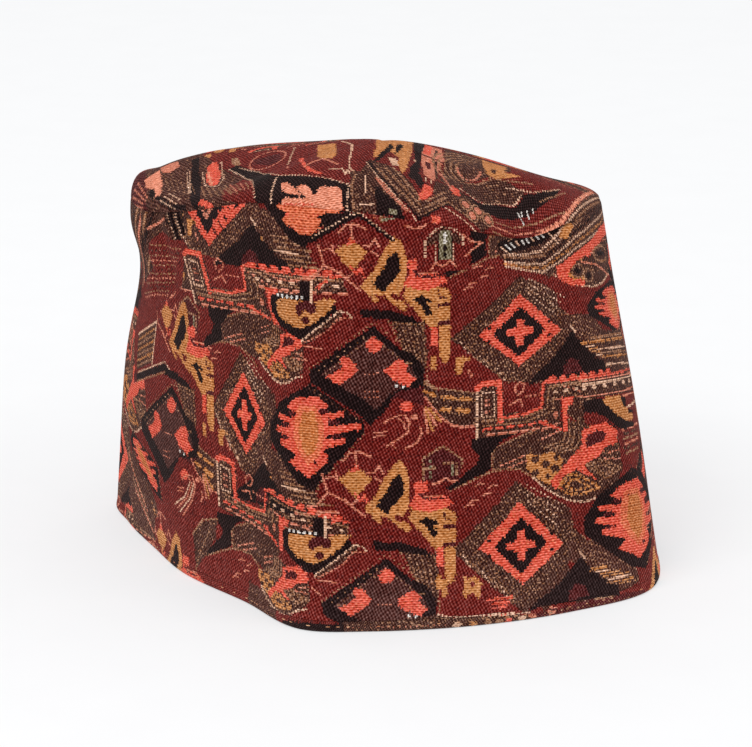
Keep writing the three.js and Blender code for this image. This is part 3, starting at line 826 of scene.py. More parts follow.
def crownGround(loom):
    loom.fill("maroon", (-110, 30), (-70, 34), (-40, 24), (-20, 14), (0, 18), (30, 24), (60, 16),
              (90, 30), (90, -60), (-110, -60))
    loom.fill("plum", (-110, 60), (-89, 60), (-87, 32), (-92, 22), (-110, 30))
    loom.fill("brown", (-89, 60), (-72, 56), (-64, 38), (-60, 26), (-56, 16), (-49, 2), (-46, -6),
              (-45, -30), (-70, -30), (-100, -5), (-92, 22), (-87, 32))
    loom.fill("maroon", (-57, -2), (-50, 2), (-46, -8), (-45, -29), (-52, -24), (-57, -16))
    for step in range(4):
        loom.line("rose", (-99 + 2.4 * step, 47), (-92.6 + 1.6 * step, 30 - step), wide=0.6, dash=2,
                  gap=0.7)
    # painted highlight: peach is coral painted lighter where the crown's top faces the light
    loom.fill("peach", (-88.4, 43), (-82, 44), (-81, 30), (-82, 17), (-84, 20), (-84.4, 28), (-87.6, 34))
    loom.fill("rose", (-82, 47), (-75, 45), (-74, 38), (-78, 36.6), (-81, 40))
    loom.fill("dark", (-86.8, 29.4), (-84.4, 29.4), (-83.6, 23), (-86, 21.6))
    loom.fill("dark", (-69.6, 40), (-66.4, 40), (-66, -7), (-70, -5))
    loom.line("dark", (-83.4, 20), (-79, 9), (-73.6, 1), wide=1.8)
    for step in range(3):
        loom.line("cream", (-82.4 + 2 * step, 17), (-77.6 + 1.8 * step, 6), wide=0.5, dash=0.8, gap=0.5)
    for step in range(6):
        loom.line("tan", (-66 + 2.2 * step, 12 - 3 * step), (-64 + 2.6 * step, -4 - 3 * step), wide=0.6,
                  dash=1.6, gap=0.6)
        loom.line("rose" if step % 2 else "tan", (-57 + 2 * step, 4 - 2 * step),
                  (-53 + 1.6 * step, -16 - step), wide=0.6, dash=2, gap=0.6)
        loom.line("tan", (-80 + 2 * step, 34 - 3 * step), (-78 + 2 * step, 20 - 3 * step), wide=0.5,
                  dash=0.8, gap=1.1)
    loom.fill("coral", (-63.6, 26), (-61.4, 28.6), (-59.4, 27), (-58.2, 14), (-59.6, 8), (-62, 8),
              (-64, 14))
    # painted highlight: a lighter peach streak in the coral on the crown's top
    loom.line("peach", (-63.2, 22), (-62, 10), wide=1)
    loom.line("cream", (-58, 26), (-57.4, 11), (-59.6, 5.6), (-64.4, 11), (-65.4, 24), wide=0.6, dash=1,
              gap=0.6)
    loom.fill("tan", (-54, 26), (-51.6, 24.4), (-50.6, 18), (-52.4, 16.8), (-54.2, 22))
    loom.line("coral", (-66, -5), (-63, -12), wide=2)
    for step in range(2):
        loom.line("cream", (-70.4 - 0.8 * step, 30), (-70 - 0.8 * step, 8), wide=0.6, dash=0.8, gap=0.6)


def crownLeaf(loom):
    loom.fill("dark", (-44.5, -24), (-45.5, -10), (-49, 2), (-56, 17), (-52, 18), (-44, 4), (-40, -5),
              (-38, -18), (-35, -21), (-10, -36), (-10, -47), (-30, -44), (-46, -34))
    # painted highlight: the leaf's coral is painted lighter as peach where the crown's top faces the light
    loom.fill("peach", (-34.6, -26.4), (-32.2, -27.2), (-31, -30), (-29, -33), (-27.4, -37),
              (-32.6, -33.4), (-34.6, -30))
    loom.fill("peach", (-28.6, -31.2), (-25.6, -32.2), (-23.6, -35.6), (-23, -39), (-26.4, -38),
              (-28.4, -33.6))
    loom.fill("peach", (-20.8, -34.8), (-14, -36.4), (-12.8, -40), (-13, -48), (-22, -48), (-38, -38),
              (-34, -34.6), (-30, -37), (-26, -38.4), (-22, -38))
    loom.line("coral", (-37, -36), (-33, -38), (-24, -42), wide=0.8, dash=1.2, gap=0.5)
    loom.line("cream", (-55, 17), (-50, 5), (-46.4, -5), (-44.8, -18), (-45, -27), wide=0.7, dash=0.9,
              gap=0.6)
    loom.line("cream", (-51.4, 15), (-44, 3.4), (-40, -6), (-38, -16), (-35.4, -20.4), (-10, -35.6),
              wide=0.7, dash=0.7, gap=0.7)
    loom.line("cream", (-36, -21.4), (-39.6, -34), dash=0.7, gap=0.5)
    loom.line("cream", (-10.6, -36), (-11.6, -48), wide=0.8, dash=0.7, gap=0.6)


def crownCurls(loom):
    loom.fill("ochre", (-22, 12), (-16, 9), (-14.8, 3), (-15, -12), (-16.6, -15), (-20, -13.6), (-22, -8))
    loom.line("coral", (-28.4, 2), (-27, -10), (-26, -18), (-23.4, -24), (-20, -27), wide=1.3)
    loom.line("rose", (-25.6, -18.4), (-23, -15.4), (-19.6, -13.8), (-16.6, -18), (-14.6, -21))
    loom.line("cream", (-17.4, -24.6), (-13.4, -25.4), wide=0.7)
    loom.line("cream", (-13.4, 10), (-9.4, 1), (-9.6, -10), (-10.4, -20), (-10, -26), (-8, -27.4),
              wide=0.7, dash=2, gap=0.3)
    loom.line("cream", (-12.8, -25), (-11.6, -29), (-11, -26), (-9.6, -29.6), wide=0.6)
    loom.fill("plum", (-46, 18), (-36, 16), (-35.4, 8), (-40, 6.6), (-44.6, 12))
    ring(loom, "rose", -40.6, 13, 6.8, 8, wide=0.8, dash=1, gap=0.4)
    loom.line("cream", (-30.4, 18), (-32, 8), (-33, 0), wide=0.8, dash=0.8, gap=0.5)
    loom.line("rose", (-33, -5), (-32, -16), wide=0.7, dash=2, gap=0.4)


def crownComb(loom):
    loom.fill("umber", (-10, -27), (-6, -27), (-4, -18), (0, -20), (7, -38), (9, -48), (-10, -48))
    loom.line("tan", (-8, -29), (-9.6, -36), (-9, -47), wide=0.8, dash=1, gap=0.5)
    loom.line("cream", (-4.8, -30), (-4.6, -39), wide=0.7)
    loom.line("cream", (-7, -45), (-2, -44.4), wide=0.6)
    loom.fill("dark", (-1.6, -35), (3, -39), (7, -43), (9.4, -48), (-1, -48))
    loom.spot("green", 5, -46, 1.8, 1.2)
    loom.fill("umber", (-3, -18), (0, -28), (7, -38), (15, -46), (25, -34.4), (31, -36), (40, -38),
              (44, -30), (42, -26), (30, -22), (20, -22), (19, -36), (15, -37.6), (12, -30), (9, -25),
              (3, -20))
    loom.line("rose", (-0.4, -31), (4, -38), (10, -44), wide=2, dash=0.8, gap=0.3)
    for step in range(3):
        loom.line("tan", (-0.6 + 2.7 * step, -23.6 + 1.2 * step), (5 + 2.4 * step, -33 + 1.6 * step),
                  (15, -43.4 + 3.2 * step), wide=1.1, dash=1.2, gap=0.5)
        loom.line("tan", (17, -43 + 3 * step), (25 - 0.6 * step, -33.4 + 2.6 * step), wide=1, dash=1.2,
                  gap=0.5)
    loom.line("dark", (-3.4, -20), (0, -28.8), (6.6, -38), (15, -46), (25.4, -34), wide=0.8)
    loom.line("cream", (-4.2, -20), (-0.8, -29), (6, -39), (14, -47), wide=0.5, dash=0.8, gap=0.5)
    loom.fill("coral", (16.4, -27), (19.4, -28.4), (19, -32), (17, -36), (14.2, -37.4), (14.8, -33))
    loom.line("tan", (25, -33), (30, -34.6), (36, -36.4), wide=0.8, dash=1.2, gap=0.4)
    loom.line("cream", (24, -36.6), (30, -38), (38, -39.6), wide=0.7, dash=1, gap=0.5)
    for x, y in ((32, -29.4), (37, -29), (41.4, -30.4), (35, -33.4)):
        loom.spot("rose", x, y, 1.5, 1.9)
        ring(loom, "tan", x, y, 2.2, 3, wide=0.6)
    loom.fill("coral", (19, -42.6), (23, -42), (23.4, -44), (20, -45))


def crownPost(loom):
    loom.fill("ochre", (-1.4, 18), (12.4, 18), (12, 0), (11, -10), (9.6, -20), (8.2, -24), (6.6, -18),
              (7, -12), (4, -8), (1, -12), (-2, -16), (-1, -6))
    loom.fill("dark", (4, 0), (5.4, -4), (3, -10), (0, -18), (-2, -19), (0, -12), (2.4, -6))
    loom.fill("dark", (7.4, 4), (9, 2), (8, -3), (5.6, -10), (6, -3))
    loom.fill("cream", (3.2, -13.6), (6, -13.2), (7, -19), (4.6, -19.4))
    loom.fill("dark", (12.4, 20), (16.8, 20), (16, 0), (15, -10), (14.6, -20), (16, -27), (15, -32),
              (13, -28), (10.4, -25), (11, -18), (13.4, -10), (12.4, 0))
    loom.spot("cream", 13, -9.4, 0.5, 1.2)
    loom.fill("rose", (16.8, 18), (23, 16), (24, 0), (22.4, -8), (21, -18), (19.6, -23), (16, -19.6),
              (15.4, -3))
    loom.fill("coral", (16.8, 18), (19.6, 16), (18.6, 0), (16, 0))
    loom.line("plum", (15.8, -1.4), (23.6, -1.8), wide=1)
    loom.fill("plum", (17, -6), (19.2, -6), (19.2, -12), (17.4, -12.6))
    loom.lines("umber", [(21.2, -3), (20.8, -20)], [(21, 12), (20.4, 2)])
    loom.lines("cream", [(16.6, -22), (17, -25)], [(18.6, -22.6), (19, -25.4)], wide=0.5)


def crownArches(loom):
    loom.fill("umber", (24, 20), (48, 18), (48, 4), (40, -5), (30, -14), (30, -24), (22, -20), (24.4, -6))
    for step in range(5):
        ring(loom, "tan", 33, -2, 4.6 + 2.1 * step, 9 + 2.6 * step, 70, 250 - 8 * step, dash=1.2, gap=0.4)
    loom.fill("brown", (29.4, 4), (36, 5), (37, -4), (34, -9), (30, -6))
    ring(loom, "rose", 33, -2, 4, 7.4, 180, 360, wide=1, dash=1.2, gap=0.4)
    loom.fill("ochre", (38, 18), (47, 14), (46, 1), (52, 2), (48, -2), (42, -5.4), (39.6, -3), (38, 4))
    loom.fill("umber", (41, 3), (43, 2), (42.4, -2), (41, -1))
    loom.fill("coral", (26.6, -20), (29.6, -21.6), (29.8, -26), (27.4, -27), (25.6, -24))
    loom.line("rose", (22.6, -12), (25, -20), (27, -24), wide=1.2, dash=1, gap=0.3)


def crownPocket(loom):
    loom.fill("umber", (30, -13.6), (37, -10), (42, -5.4), (48, -5), (54, -7), (51.4, -14), (46, -17),
              (41, -21), (37, -23), (31, -20.4))
    # painted shade: the crown's hollow behind the lip is filled dark
    loom.fill("dark", (54, -7.4), (58, -3.6), (64, 4), (68, 12), (66, 2), (62, -6), (57, -15), (52, -21),
              (45, -26), (38, -27), (31, -22.6), (37, -23.8), (45, -18.6), (51.6, -15))
    loom.line("cream", (29.6, -19.8), (35, -22.6), (39, -22.8), (45, -17.6), (50.8, -14.6), (53, -7.8),
              wide=0.7, dash=0.8, gap=0.6)
    loom.line("tan", (30, -13.4), (36.6, -11.2), (41, -6), dash=0.9, gap=0.4)
    loom.line("tan", (40, -5), (46, -4.8), (52, -2), (56, 0.4), dash=1, gap=0.4)
    loom.line("cream", (46.6, -8.4), (57, -4), (63, 3), (68, 12), wide=0.7, dash=0.8, gap=0.6)
    for x, y in ((41, -10), (43.4, -8.6), (46.4, -11.4), (38.6, -7.4)):
        loom.spot("tan", x, y, 0.6)
    loom.line("white", (52.8, -16.6), (56.6, -19.8), wide=0.6)
    for x, y in ((54, -15), (56, -13), (58, -10.6), (57, -14.4)):
        loom.line("white", (x, y), (x + 0.9, y - 1.6), wide=0.5)
    loom.line("tan", (60.4, -6), (66, 3), (70, 12), wide=0.7, dash=1, gap=0.6)
    for step in range(4):
        loom.line("rose" if step % 2 else "tan", (42 + step, -30 - 2 * step),
                  (52 + 1.6 * step, -25 - 2 * step), (62 + 1.8 * step, -14 - 2 * step),
                  (72 + 1.8 * step, 0 - 2 * step), wide=0.6, dash=2.4, gap=0.5)
    loom.fill("umber", (64, -22), (71.6, -8), (74.6, 4), (77, 16), (83, 44), (104, 44), (104, -22))
    for step in range(6):
        loom.line(("cream", "tan", "dark")[step % 3], (72.6 + 1.5 * step, -8 - 2 * step),
                  (76 + 1.7 * step, 6), (84.6 + 1.8 * step, 40), wide=0.8, dash=1, gap=0.4)
    # painted highlight: coral painted lighter as peach along the crown's roll
    loom.line("peach", (63, -20), (70.6, -7), (73.6, 4), (76, 16), (82, 44), wide=1.7, dash=2.6, gap=0.3)


crownMotifs = [crownGround, crownLeaf, crownCurls, crownComb, crownPost, crownArches, crownPocket]


def weaveBand():
    loom = Loom(chart)
    weaveRepeat(loom)
    for motif in bandMotifs:
        motif(loom)
    return loom.cloth


def weaveCrown():
    loom = Loom(crownChart)
    weaveRepeat(loom, crownChart["shift"], measured=False)
    for motif in crownMotifs:
        motif(loom)
    return loom.cloth


def crownLine(around, inward):
    # up from the seam and over the shoulder, then over the rounded top to the middle
    rise, flat, drop = np.moveaxis(crownCurve(around), -1, 0)
    middle = np.array([*capForm["middle"], capForm["height"]])
    seam = bandPoint(around, np.ones_like(around))
    topEdge = middle + (seam - middle) * flat[..., None]
    topEdge[..., 2] = middle[2] - drop
    upward = unit(seam - bandPoint(around, np.full_like(around, 0.999)))
    outward = topEdge - middle
    outward[..., 2] = -capForm["bend"] * drop
    foot = seam + [0, 0, capForm["gap"]]
    lift = seam + upward * (capForm["gap"] + np.maximum(rise, capForm["gap"]))[..., None]
    over = topEdge + outward * (0.5 * (1 - flat) / flat)[..., None]
    t = np.clip(2 * inward, 0, 1)[..., None]
    bend = foot * (1 - t) ** 3 + lift * 3 * t * (1 - t) ** 2 + over * 3 * t * t * (1 - t) + topEdge * t ** 3
    share = (2 - 2 * inward)[..., None]
    top = middle + (topEdge - middle) * share
    top[..., 2] = middle[2] - drop * share[..., 0] ** capForm["bend"]
    return np.where(inward[..., None] > 0.5, top, bend)


def crownPoint(around, inward):
    point = crownLine(around, inward)
    seam = seamCurve(around)
    share = np.hypot(point[..., 0], point[..., 1]) / np.hypot(seam[..., 0], seam[..., 1])
    for angle, reach, spread, push in crownFolds:
        turn = np.radians(turnFrom(point, angle))
        apart = np.hypot(share * np.cos(turn) - reach, share * np.sin(turn))
        point[..., 2] += push * bell(apart, spread) * np.maximum(1 - share ** 2, 0)
    return point


def footLevel(around):
    return (capForm["hem"] + capForm["gap"]) / seamCurve(around)[..., 2]


def bandSheet(around, share):
    low = footLevel(around)
    return bandPoint(around, low + (1 - low) * share)


# The band laid flat, ruling by ruling, both ways from the front and a little past the back seam
flatPlan = {"rulings": 720, "spare": 14, "cell": 0.88, "probes": 7200}


def nearestAround(angle):
    probe = np.linspace(0, 1, flatPlan["probes"], endpoint=False)
    return probe[np.argmin(np.abs(turnFrom(bandSheet(probe, np.zeros_like(probe)), angle)))]


def pivot(a, b, fromA, fromB, side):
    # the flat point at these distances from two others
    apart = np.linalg.norm(b - a)
    ahead = (b - a) / apart
    along = (fromA ** 2 - fromB ** 2 + apart ** 2) / (2 * apart)
    off = math.sqrt(max(fromA ** 2 - along ** 2, 0))
    return a + ahead * along + side * off * np.array([-ahead[1], ahead[0]])


def layFlat():
    front = nearestAround(capForm["front"])
    back = nearestAround(capForm["back"])
    spans = {1: (back - front) % 1, -1: (front - back) % 1}
    sides = {}
    for way, span in spans.items():
        count = round(span * flatPlan["rulings"])
        around = front + way * span * np.arange(count + flatPlan["spare"] + 1) / count
        foot, top = (bandSheet(around, np.full_like(around, share)) for share in (0.0, 1.0))
        flatFoot = [np.zeros(2)]
        flatTop = [np.array([0, np.linalg.norm(top[0] - foot[0])])]
        for a in range(len(around) - 1):
            b = a + 1
            near = pivot(flatFoot[a], flatTop[a], np.linalg.norm(foot[b] - foot[a]),
                         np.linalg.norm(foot[b] - top[a]), -way)
            far = pivot(near, flatTop[a], np.linalg.norm(top[b] - foot[b]),
                        np.linalg.norm(top[b] - top[a]), -way)
            flatFoot.append(near)
            flatTop.append(far)
        sides[way] = (around, np.array(flatFoot), np.array(flatTop))
    join = [np.concatenate([left[:0:-1], right]) for left, right in zip(sides[-1], sides[1])]
    return *join, front - spans[-1], front + spans[1]


flatAround, flatFoot, flatTop, leftEnd, rightEnd = layFlat()
print("band laid flat:", len(flatAround), "rulings")


def beside(points, ruling):
    # how far flat points lie to the right of a ruling
    up = unit(flatTop[ruling] - flatFoot[ruling])
    off = points - flatFoot[ruling]
    return off[..., 0] * up[..., 1] - off[..., 1] * up[..., 0]


def ontoBand(points):
    # flat points to their place round the band and their share of its height
    low = np.zeros(len(points), int)
    high = np.full(len(points), len(flatAround) - 1)
    while (high - low).max() > 1:
        half = (low + high) // 2
        right = beside(points, half) > 0
        low = np.where(right, half, low)
        high = np.where(right, high, half)
    near, far = beside(points, low), beside(points, high)
    share = near / np.maximum(near - far, 1e-9)
    mixed = [a[low] + (a[high] - a[low]) * (share if a.ndim == 1 else share[:, None])
             for a in (flatAround, flatFoot, flatTop)]
    up = mixed[2] - mixed[1]
    length = np.linalg.norm(up, axis=1)
    return mixed[0], ((points - mixed[1]) * up).sum(1) / length ** 2, length


def flatPoint(around, share):
    foot, top = (np.stack([np.interp(around, flatAround, a[:, axis]) for axis in (0, 1)], -1)
                 for a in (flatFoot, flatTop))
    return foot + (top - foot) * share[..., None]


# A sheet of weave cells: its corners are kept inside an edge, and those next to the edge moved onto it
def cellSheet(inside):
    upSlope, acrossSlope = np.gradient(inside)
    near = 0.5 * np.maximum(np.abs(upSlope), np.abs(acrossSlope))
    kept = inside >= -near
    onEdge = kept & (inside <= near)
    number = np.arange(inside.size).reshape(inside.shape)
    corners = [number[:-1, :-1], number[:-1, 1:], number[1:, 1:], number[1:, :-1]]
    corners = np.stack([c.ravel() for c in corners], 1)
    good = kept.ravel()[corners]
    count = good.sum(1)
    quads = corners[count == 4]
    some = corners[count == 3]
    triangles = some[good[count == 3]].reshape(-1, 3)
    used, inverse = np.unique(np.concatenate([quads.ravel(), triangles.ravel()]), return_inverse=True)
    faces = inverse[:quads.size].reshape(-1, 4).tolist() + inverse[quads.size:].reshape(-1, 3).tolist()
    cells = np.concatenate([np.flatnonzero(count == 4), np.flatnonzero(count == 3)])
    wide = inside.shape[1] - 1
    return onEdge.ravel(), used, faces, np.stack([cells % wide, cells // wide], 1)


def borderLoop(faces):
    ahead = {}
    for face in faces:
        for a, b in zip(face, face[1:] + face[:1]):
            ahead[(a, b)] = None
    follow = {a: b for a, b in ahead if (b, a) not in ahead}
    loop = [next(iter(follow))]
    while len(loop) < len(follow):
        loop.append(follow[loop[-1]])
    return np.array(loop)


def joinLoops(outer, outerAt, inner, innerAt, whole):
    # triangles between two loops, a step on whichever lies behind
    outer, outerAt = (np.roll(a, -np.argmin(outerAt)) for a in (outer, outerAt))
    inner, innerAt = (np.roll(a, -np.argmin(innerAt)) for a in (inner, innerAt))
    outer, inner = np.append(outer, outer[0]), np.append(inner, inner[0])
    outerAt, innerAt = np.append(outerAt, whole), np.append(innerAt, whole)
    faces = []
    k = m = 0
    while k < len(outer) - 1 or m < len(inner) - 1:
        if m == len(inner) - 1 or (k < len(outer) - 1 and outerAt[k + 1] <= innerAt[m + 1]):
            faces.append([outer[k + 1], outer[k], inner[m]])
            k += 1
        else:
            faces.append([outer[k], inner[m], inner[m + 1]])
            m += 1
    return faces


dyeing = {
    "seed": 7, "thread": 0.06, "square": 0.08, "strays": 0.055, "ragged": 0.2,
    "whole": ("cream", "tan", "rose", "white", "green"),      # thin lines of these have no ragged edge
    "mixed": (("maroon", "plum"), ("coral", "amber"), ("amber", "coral"),
              ("umber", "tan"), ("brown", "tan")),
}


def linear(colour):
    colour = np.asarray(colour, float) / 255
    return np.where(colour < 0.04045, colour / 12.92, ((colour + 0.055) / 1.055) ** 2.4)


def dye(cloth):
    # the chart's squares in colour, ragged at their edges, with a few stray threads and no two quite alike
    chance = np.random.default_rng(dyeing["seed"])
    rows, columns = np.indices(cloth.shape)
    slips = np.where(chance.random((2, *cloth.shape)) < dyeing["ragged"],
                     chance.choice([-1, 1], (2, *cloth.shape)), 0)
    slipped = cloth[np.clip(rows + slips[0], 0, len(cloth) - 1),
                    np.clip(columns + slips[1], 0, cloth.shape[1] - 1)]
    thin = [yarns.index(yarn) for yarn in dyeing["whole"]]
    cloth = np.where(np.isin(cloth, thin) | np.isin(slipped, thin), cloth, slipped)
    woven = cloth.copy()
    for yarn, other in dyeing["mixed"]:
        stray = (cloth == yarns.index(yarn)) & (chance.random(cloth.shape) < dyeing["strays"])
        woven[stray] = yarns.index(other)
    colours = linear([yarnColours[yarn] for yarn in yarns])[woven]
    for shape, spread in (((cloth.shape[0], 1), "thread"), ((1, cloth.shape[1]), "thread"),
                          (cloth.shape, "square")):
        colours *= (1 + dyeing[spread] * chance.standard_normal(shape))[..., None]
    return np.clip(colours, 0, 1)


bandCloth = {"dyed": dye(weaveBand()), "plan": chart}
crownCloth = {"dyed": dye(weaveCrown()), "plan": crownChart}
print("cloth woven and dyed:", bandCloth["dyed"].size // 3 + crownCloth["dyed"].size // 3, "squares")


def colourAt(cloth, cells):
    dyed, plan = cloth["dyed"], cloth["plan"]
    place = np.floor((cells - [plan["left"], plan["low"]]) * plan["fine"]).astype(int)
    place = np.clip(place, 0, [dyed.shape[1] - 1, dyed.shape[0] - 1])
    return dyed[place[:, 1], place[:, 0]]


sharpFrom = 50            # degrees between two faces
quarters = {"yarn00": (0.25, 0.25), "yarn10": (0.75, 0.25), "yarn01": (0.25, 0.75), "yarn11": (0.75, 0.75)}


def makePiece(name, points, faces, cloth, squares, weaveAt, materials):
    # squares gives each outer face its four dyed quarters, weaveAt each corner its place in the weave
    mesh = bpy.data.meshes.new(name)
    mesh.from_pydata((points + capShift) * mm, [], faces)
    outer = len(squares["yarn00"])
    for layer, places in squares.items():
        colours = np.ones((len(faces), 4))
        colours[:outer, :3] = colourAt(cloth, places)
        mesh.attributes.new(layer, "FLOAT_COLOR", "FACE").data.foreach_set("color", colours.ravel())
    mesh.uv_layers.new(name="weave").data.foreach_set("uv", weaveAt.ravel())
    for material in materials:
        mesh.materials.append(material)
    slots = np.zeros(len(faces), np.int32)
    slots[outer:] = 1
    mesh.polygons.foreach_set("material_index", slots)
    mesh.shade_smooth()
    mesh.set_sharp_from_angle(angle=math.radians(sharpFrom))
    mesh.validate()
    piece = bpy.data.objects.new(name, mesh)
    bpy.context.collection.objects.link(piece)
    print(name, "made:", len(points), "points,", len(faces), "faces")
    return piece


def loopWeave(faces, places):
    return np.concatenate([places[face] for face in faces])


def gridFaces(rows, columns, start=0, closed=(False, False)):
    # faces of a grid of points, row after row, closed up the rows and along them where asked
    number = start + np.arange(rows * columns).reshape(rows, columns)
    number = np.pad(number, [(0, int(end)) for end in closed], "wrap")
    return np.stack([number[:-1, :-1], number[1:, :-1], number[1:, 1:], number[:-1, 1:]], -1).reshape(-1, 4)


bandCut = {"columns": 240, "rows": 14, "edge": 1.2, "roll": 0.3, "seam": 1.6, "seamDip": 0.6,
           "girth": 535, "tall": 110}


# small folds of the cloth alone: a path over the flat band in cells, then spread and push
bandCreases = [
    # pleats at the left top
    ([(-101, 137), (-95, 127)], 0.9, -0.8), ([(-98.4, 138), (-92.6, 127)], 0.9, 0.5),
    ([(-96, 138), (-90.6, 127.6)], 0.9, -0.8), ([(-93.4, 138), (-88.6, 128)], 0.9, 0.5),
    ([(-91, 138), (-87, 129)], 0.9, -0.7),
    ([(-109, 140), (-104, 127), (-100, 112)], 3.4, -1.1),
    ([(-117, 138), (-116, 124), (-112, 108)], 3.4, 0.9),
    ([(-125, 136), (-125, 122), (-120, 104)], 3.0, -1.1),
    # pocket under the lip
    ([(46, 129), (60, 128.8), (72, 131.4), (84, 136.4)], 2.1, -1.5),
    ([(44, 133), (60, 133.4), (76, 137.6)], 1.8, 0.9),
    ([(50, 122.6), (66, 120.6), (78, 126), (96, 134)], 3.6, 1.0),                          # roll below it
    ([(-60, 96), (-30, 108), (0, 104)], 9.0, 0.5), ([(-40, 60), (-10, 40), (10, 10)], 8.0, 0.5),
    ([(20, 60), (50, 48), (80, 50)], 9.0, -0.6), ([(-100, 60), (-80, 80), (-60, 84)], 8.0, -0.6),
]


def creased(around, share):
    # how far the creases push the cloth out
    places = flatPoint(around, share)
    total = np.zeros(np.shape(around))
    for path, spread, push in bandCreases:
        path = np.array(path) * flatPlan["cell"]
        apart = np.full(total.shape, np.inf)
        for a, b in zip(path[:-1], path[1:]):
            along = np.clip(((places - a) @ (b - a)) / ((b - a) @ (b - a)), 0, 1)
            apart = np.minimum(apart, np.linalg.norm(places - a - along[..., None] * (b - a), axis=-1))
        total += push * bell(apart, spread)
    return total


def bandFace(around, share):
    # the band's outer face, with its top edge rolled in and a groove where its ends are sewn together
    point = bandSheet(around, share)
    foot, head = bandSheet(around, np.zeros_like(around)), bandSheet(around, np.ones_like(around))
    length = np.linalg.norm(head - foot, axis=-1)
    top = np.clip(1 - (1 - share) * length / bandCut["edge"], 0, 1)
    ends = np.minimum(around - leftEnd, rightEnd - around) * bandCut["girth"]
    dip = bandCut["roll"] * top ** 2 + bandCut["seamDip"] * np.clip(1 - ends / bandCut["seam"], 0, 1) ** 2
    return point + normalOf(bandSheet, around, share) * (creased(around, share) - dip)[..., None]


def makeBand(materials):
    cell = flatPlan["cell"]
    corners = np.concatenate([flatFoot, flatTop]) / cell
    low, high = np.floor(corners.min(0)).astype(int) - 2, np.ceil(corners.max(0)).astype(int) + 2
    across, up = np.meshgrid(np.arange(low[0], high[0] + 1), np.arange(low[1], high[1] + 1))
    flat = np.stack([across, up], -1).reshape(-1, 2) * cell
    around, share, length = ontoBand(flat)
    spare = flatPlan["spare"]
    bounds = np.stack([share * length, beside(flat, spare), (1 - share) * length,
                       -beside(flat, -1 - spare)]) / cell
    inside = bounds.min(0).reshape(across.shape)
    onEdge, used, faces, cells = cellSheet(inside)
    edge = np.where(onEdge, bounds.argmin(0), -1)
    share = np.clip(np.where(edge == 0, 0, np.where(edge == 2, 1, share)), 0, 1)
    around = np.clip(np.where(edge == 1, leftEnd, np.where(edge == 3, rightEnd, around)), leftEnd, rightEnd)
    around, share = around[used], share[used]
    points = bandFace(around, share)
    places = flatPoint(around, share) / cell
    squares = {name: low + cells + offset for name, offset in quarters.items()}

    outer = borderLoop(faces)
    turn = (around - leftEnd) / (rightEnd - leftEnd)

    def roundLoop(turn, share):
        # from the foot's left end along the foot, up the right end, back along the top and down
        spots = np.stack([turn, 1 + share, 3 - turn, 4 - share])
        tall, girth = bandCut["tall"], bandCut["girth"]
        away = np.stack([share * tall, (1 - turn) * girth, (1 - share) * tall, turn * girth])
        return np.mod(np.take_along_axis(spots, away.argmin(0)[None], 0)[0], 4)

    rows, count = bandCut["rows"] + 1, bandCut["columns"] + 1
    innerShare, innerTurn = np.meshgrid(np.linspace(0, 1, rows), np.linspace(0, 1, count), indexing="ij")
    innerAround = leftEnd + innerTurn * (rightEnd - leftEnd)
    depth = normalOf(bandSheet, innerAround, innerShare) * capForm["cloth"]
    inner = bandSheet(innerAround, innerShare) - depth
    inner[0, :, 2] = capForm["hem"] + capForm["gap"]
    grid = len(points) + np.arange(rows * count).reshape(rows, count)
    innerLoop = np.concatenate([grid[0, :-1], grid[:-1, -1], grid[-1, :0:-1], grid[:0:-1, 0]])
    turns = np.concatenate([turn, innerTurn.ravel()])
    shares = np.concatenate([share, innerShare.ravel()])
    at = roundLoop(turns, shares)
    at[grid[-1, 0]] = 3
    at[grid[0, 0]] = 0
    walls = gridFaces(rows, count, len(points)).tolist()
    walls += joinLoops(outer, at[outer], innerLoop, at[innerLoop], 4)
    places = np.concatenate([places, flatPoint(innerAround.ravel(), innerShare.ravel()) / cell])
    points = np.concatenate([points, inner.reshape(-1, 3)])
    everyFace = faces + walls
    return makePiece("side_band_cloth", points, everyFace, bandCloth, squares,
                     loopWeave(everyFace, places), materials)


# The crown's cloth is laid on from its peak outwards
crownCut = {"rulings": 720, "rings": 80, "columns": 180, "rows": 22, "edge": 1.2, "tuck": 0.35,
            "lift": 0.05, "steep": 8, "reverse": 90}


def layCrown():
    around = np.linspace(0, 1, crownCut["rulings"] + 1)
    inward = np.linspace(1, 0, crownCut["rings"] + 1)
    lines = crownPoint(*np.meshgrid(around, inward, indexing="ij"))
    steps = np.linalg.norm(np.diff(lines, axis=1), axis=-1)
    away = np.concatenate([np.zeros((len(around), 1)), steps.cumsum(1)], 1)
    seam = seamCurve(around)[:, :2] - capForm["middle"]
    angle = np.unwrap(np.arctan2(seam[:, 1], seam[:, 0]))
    shares = np.linspace(0, 1, crownCut["rings"] + 1)
    inwardAt = np.stack([np.interp(shares * row[-1], row, inward) for row in away])
    return around, angle, away[:, -1], inwardAt


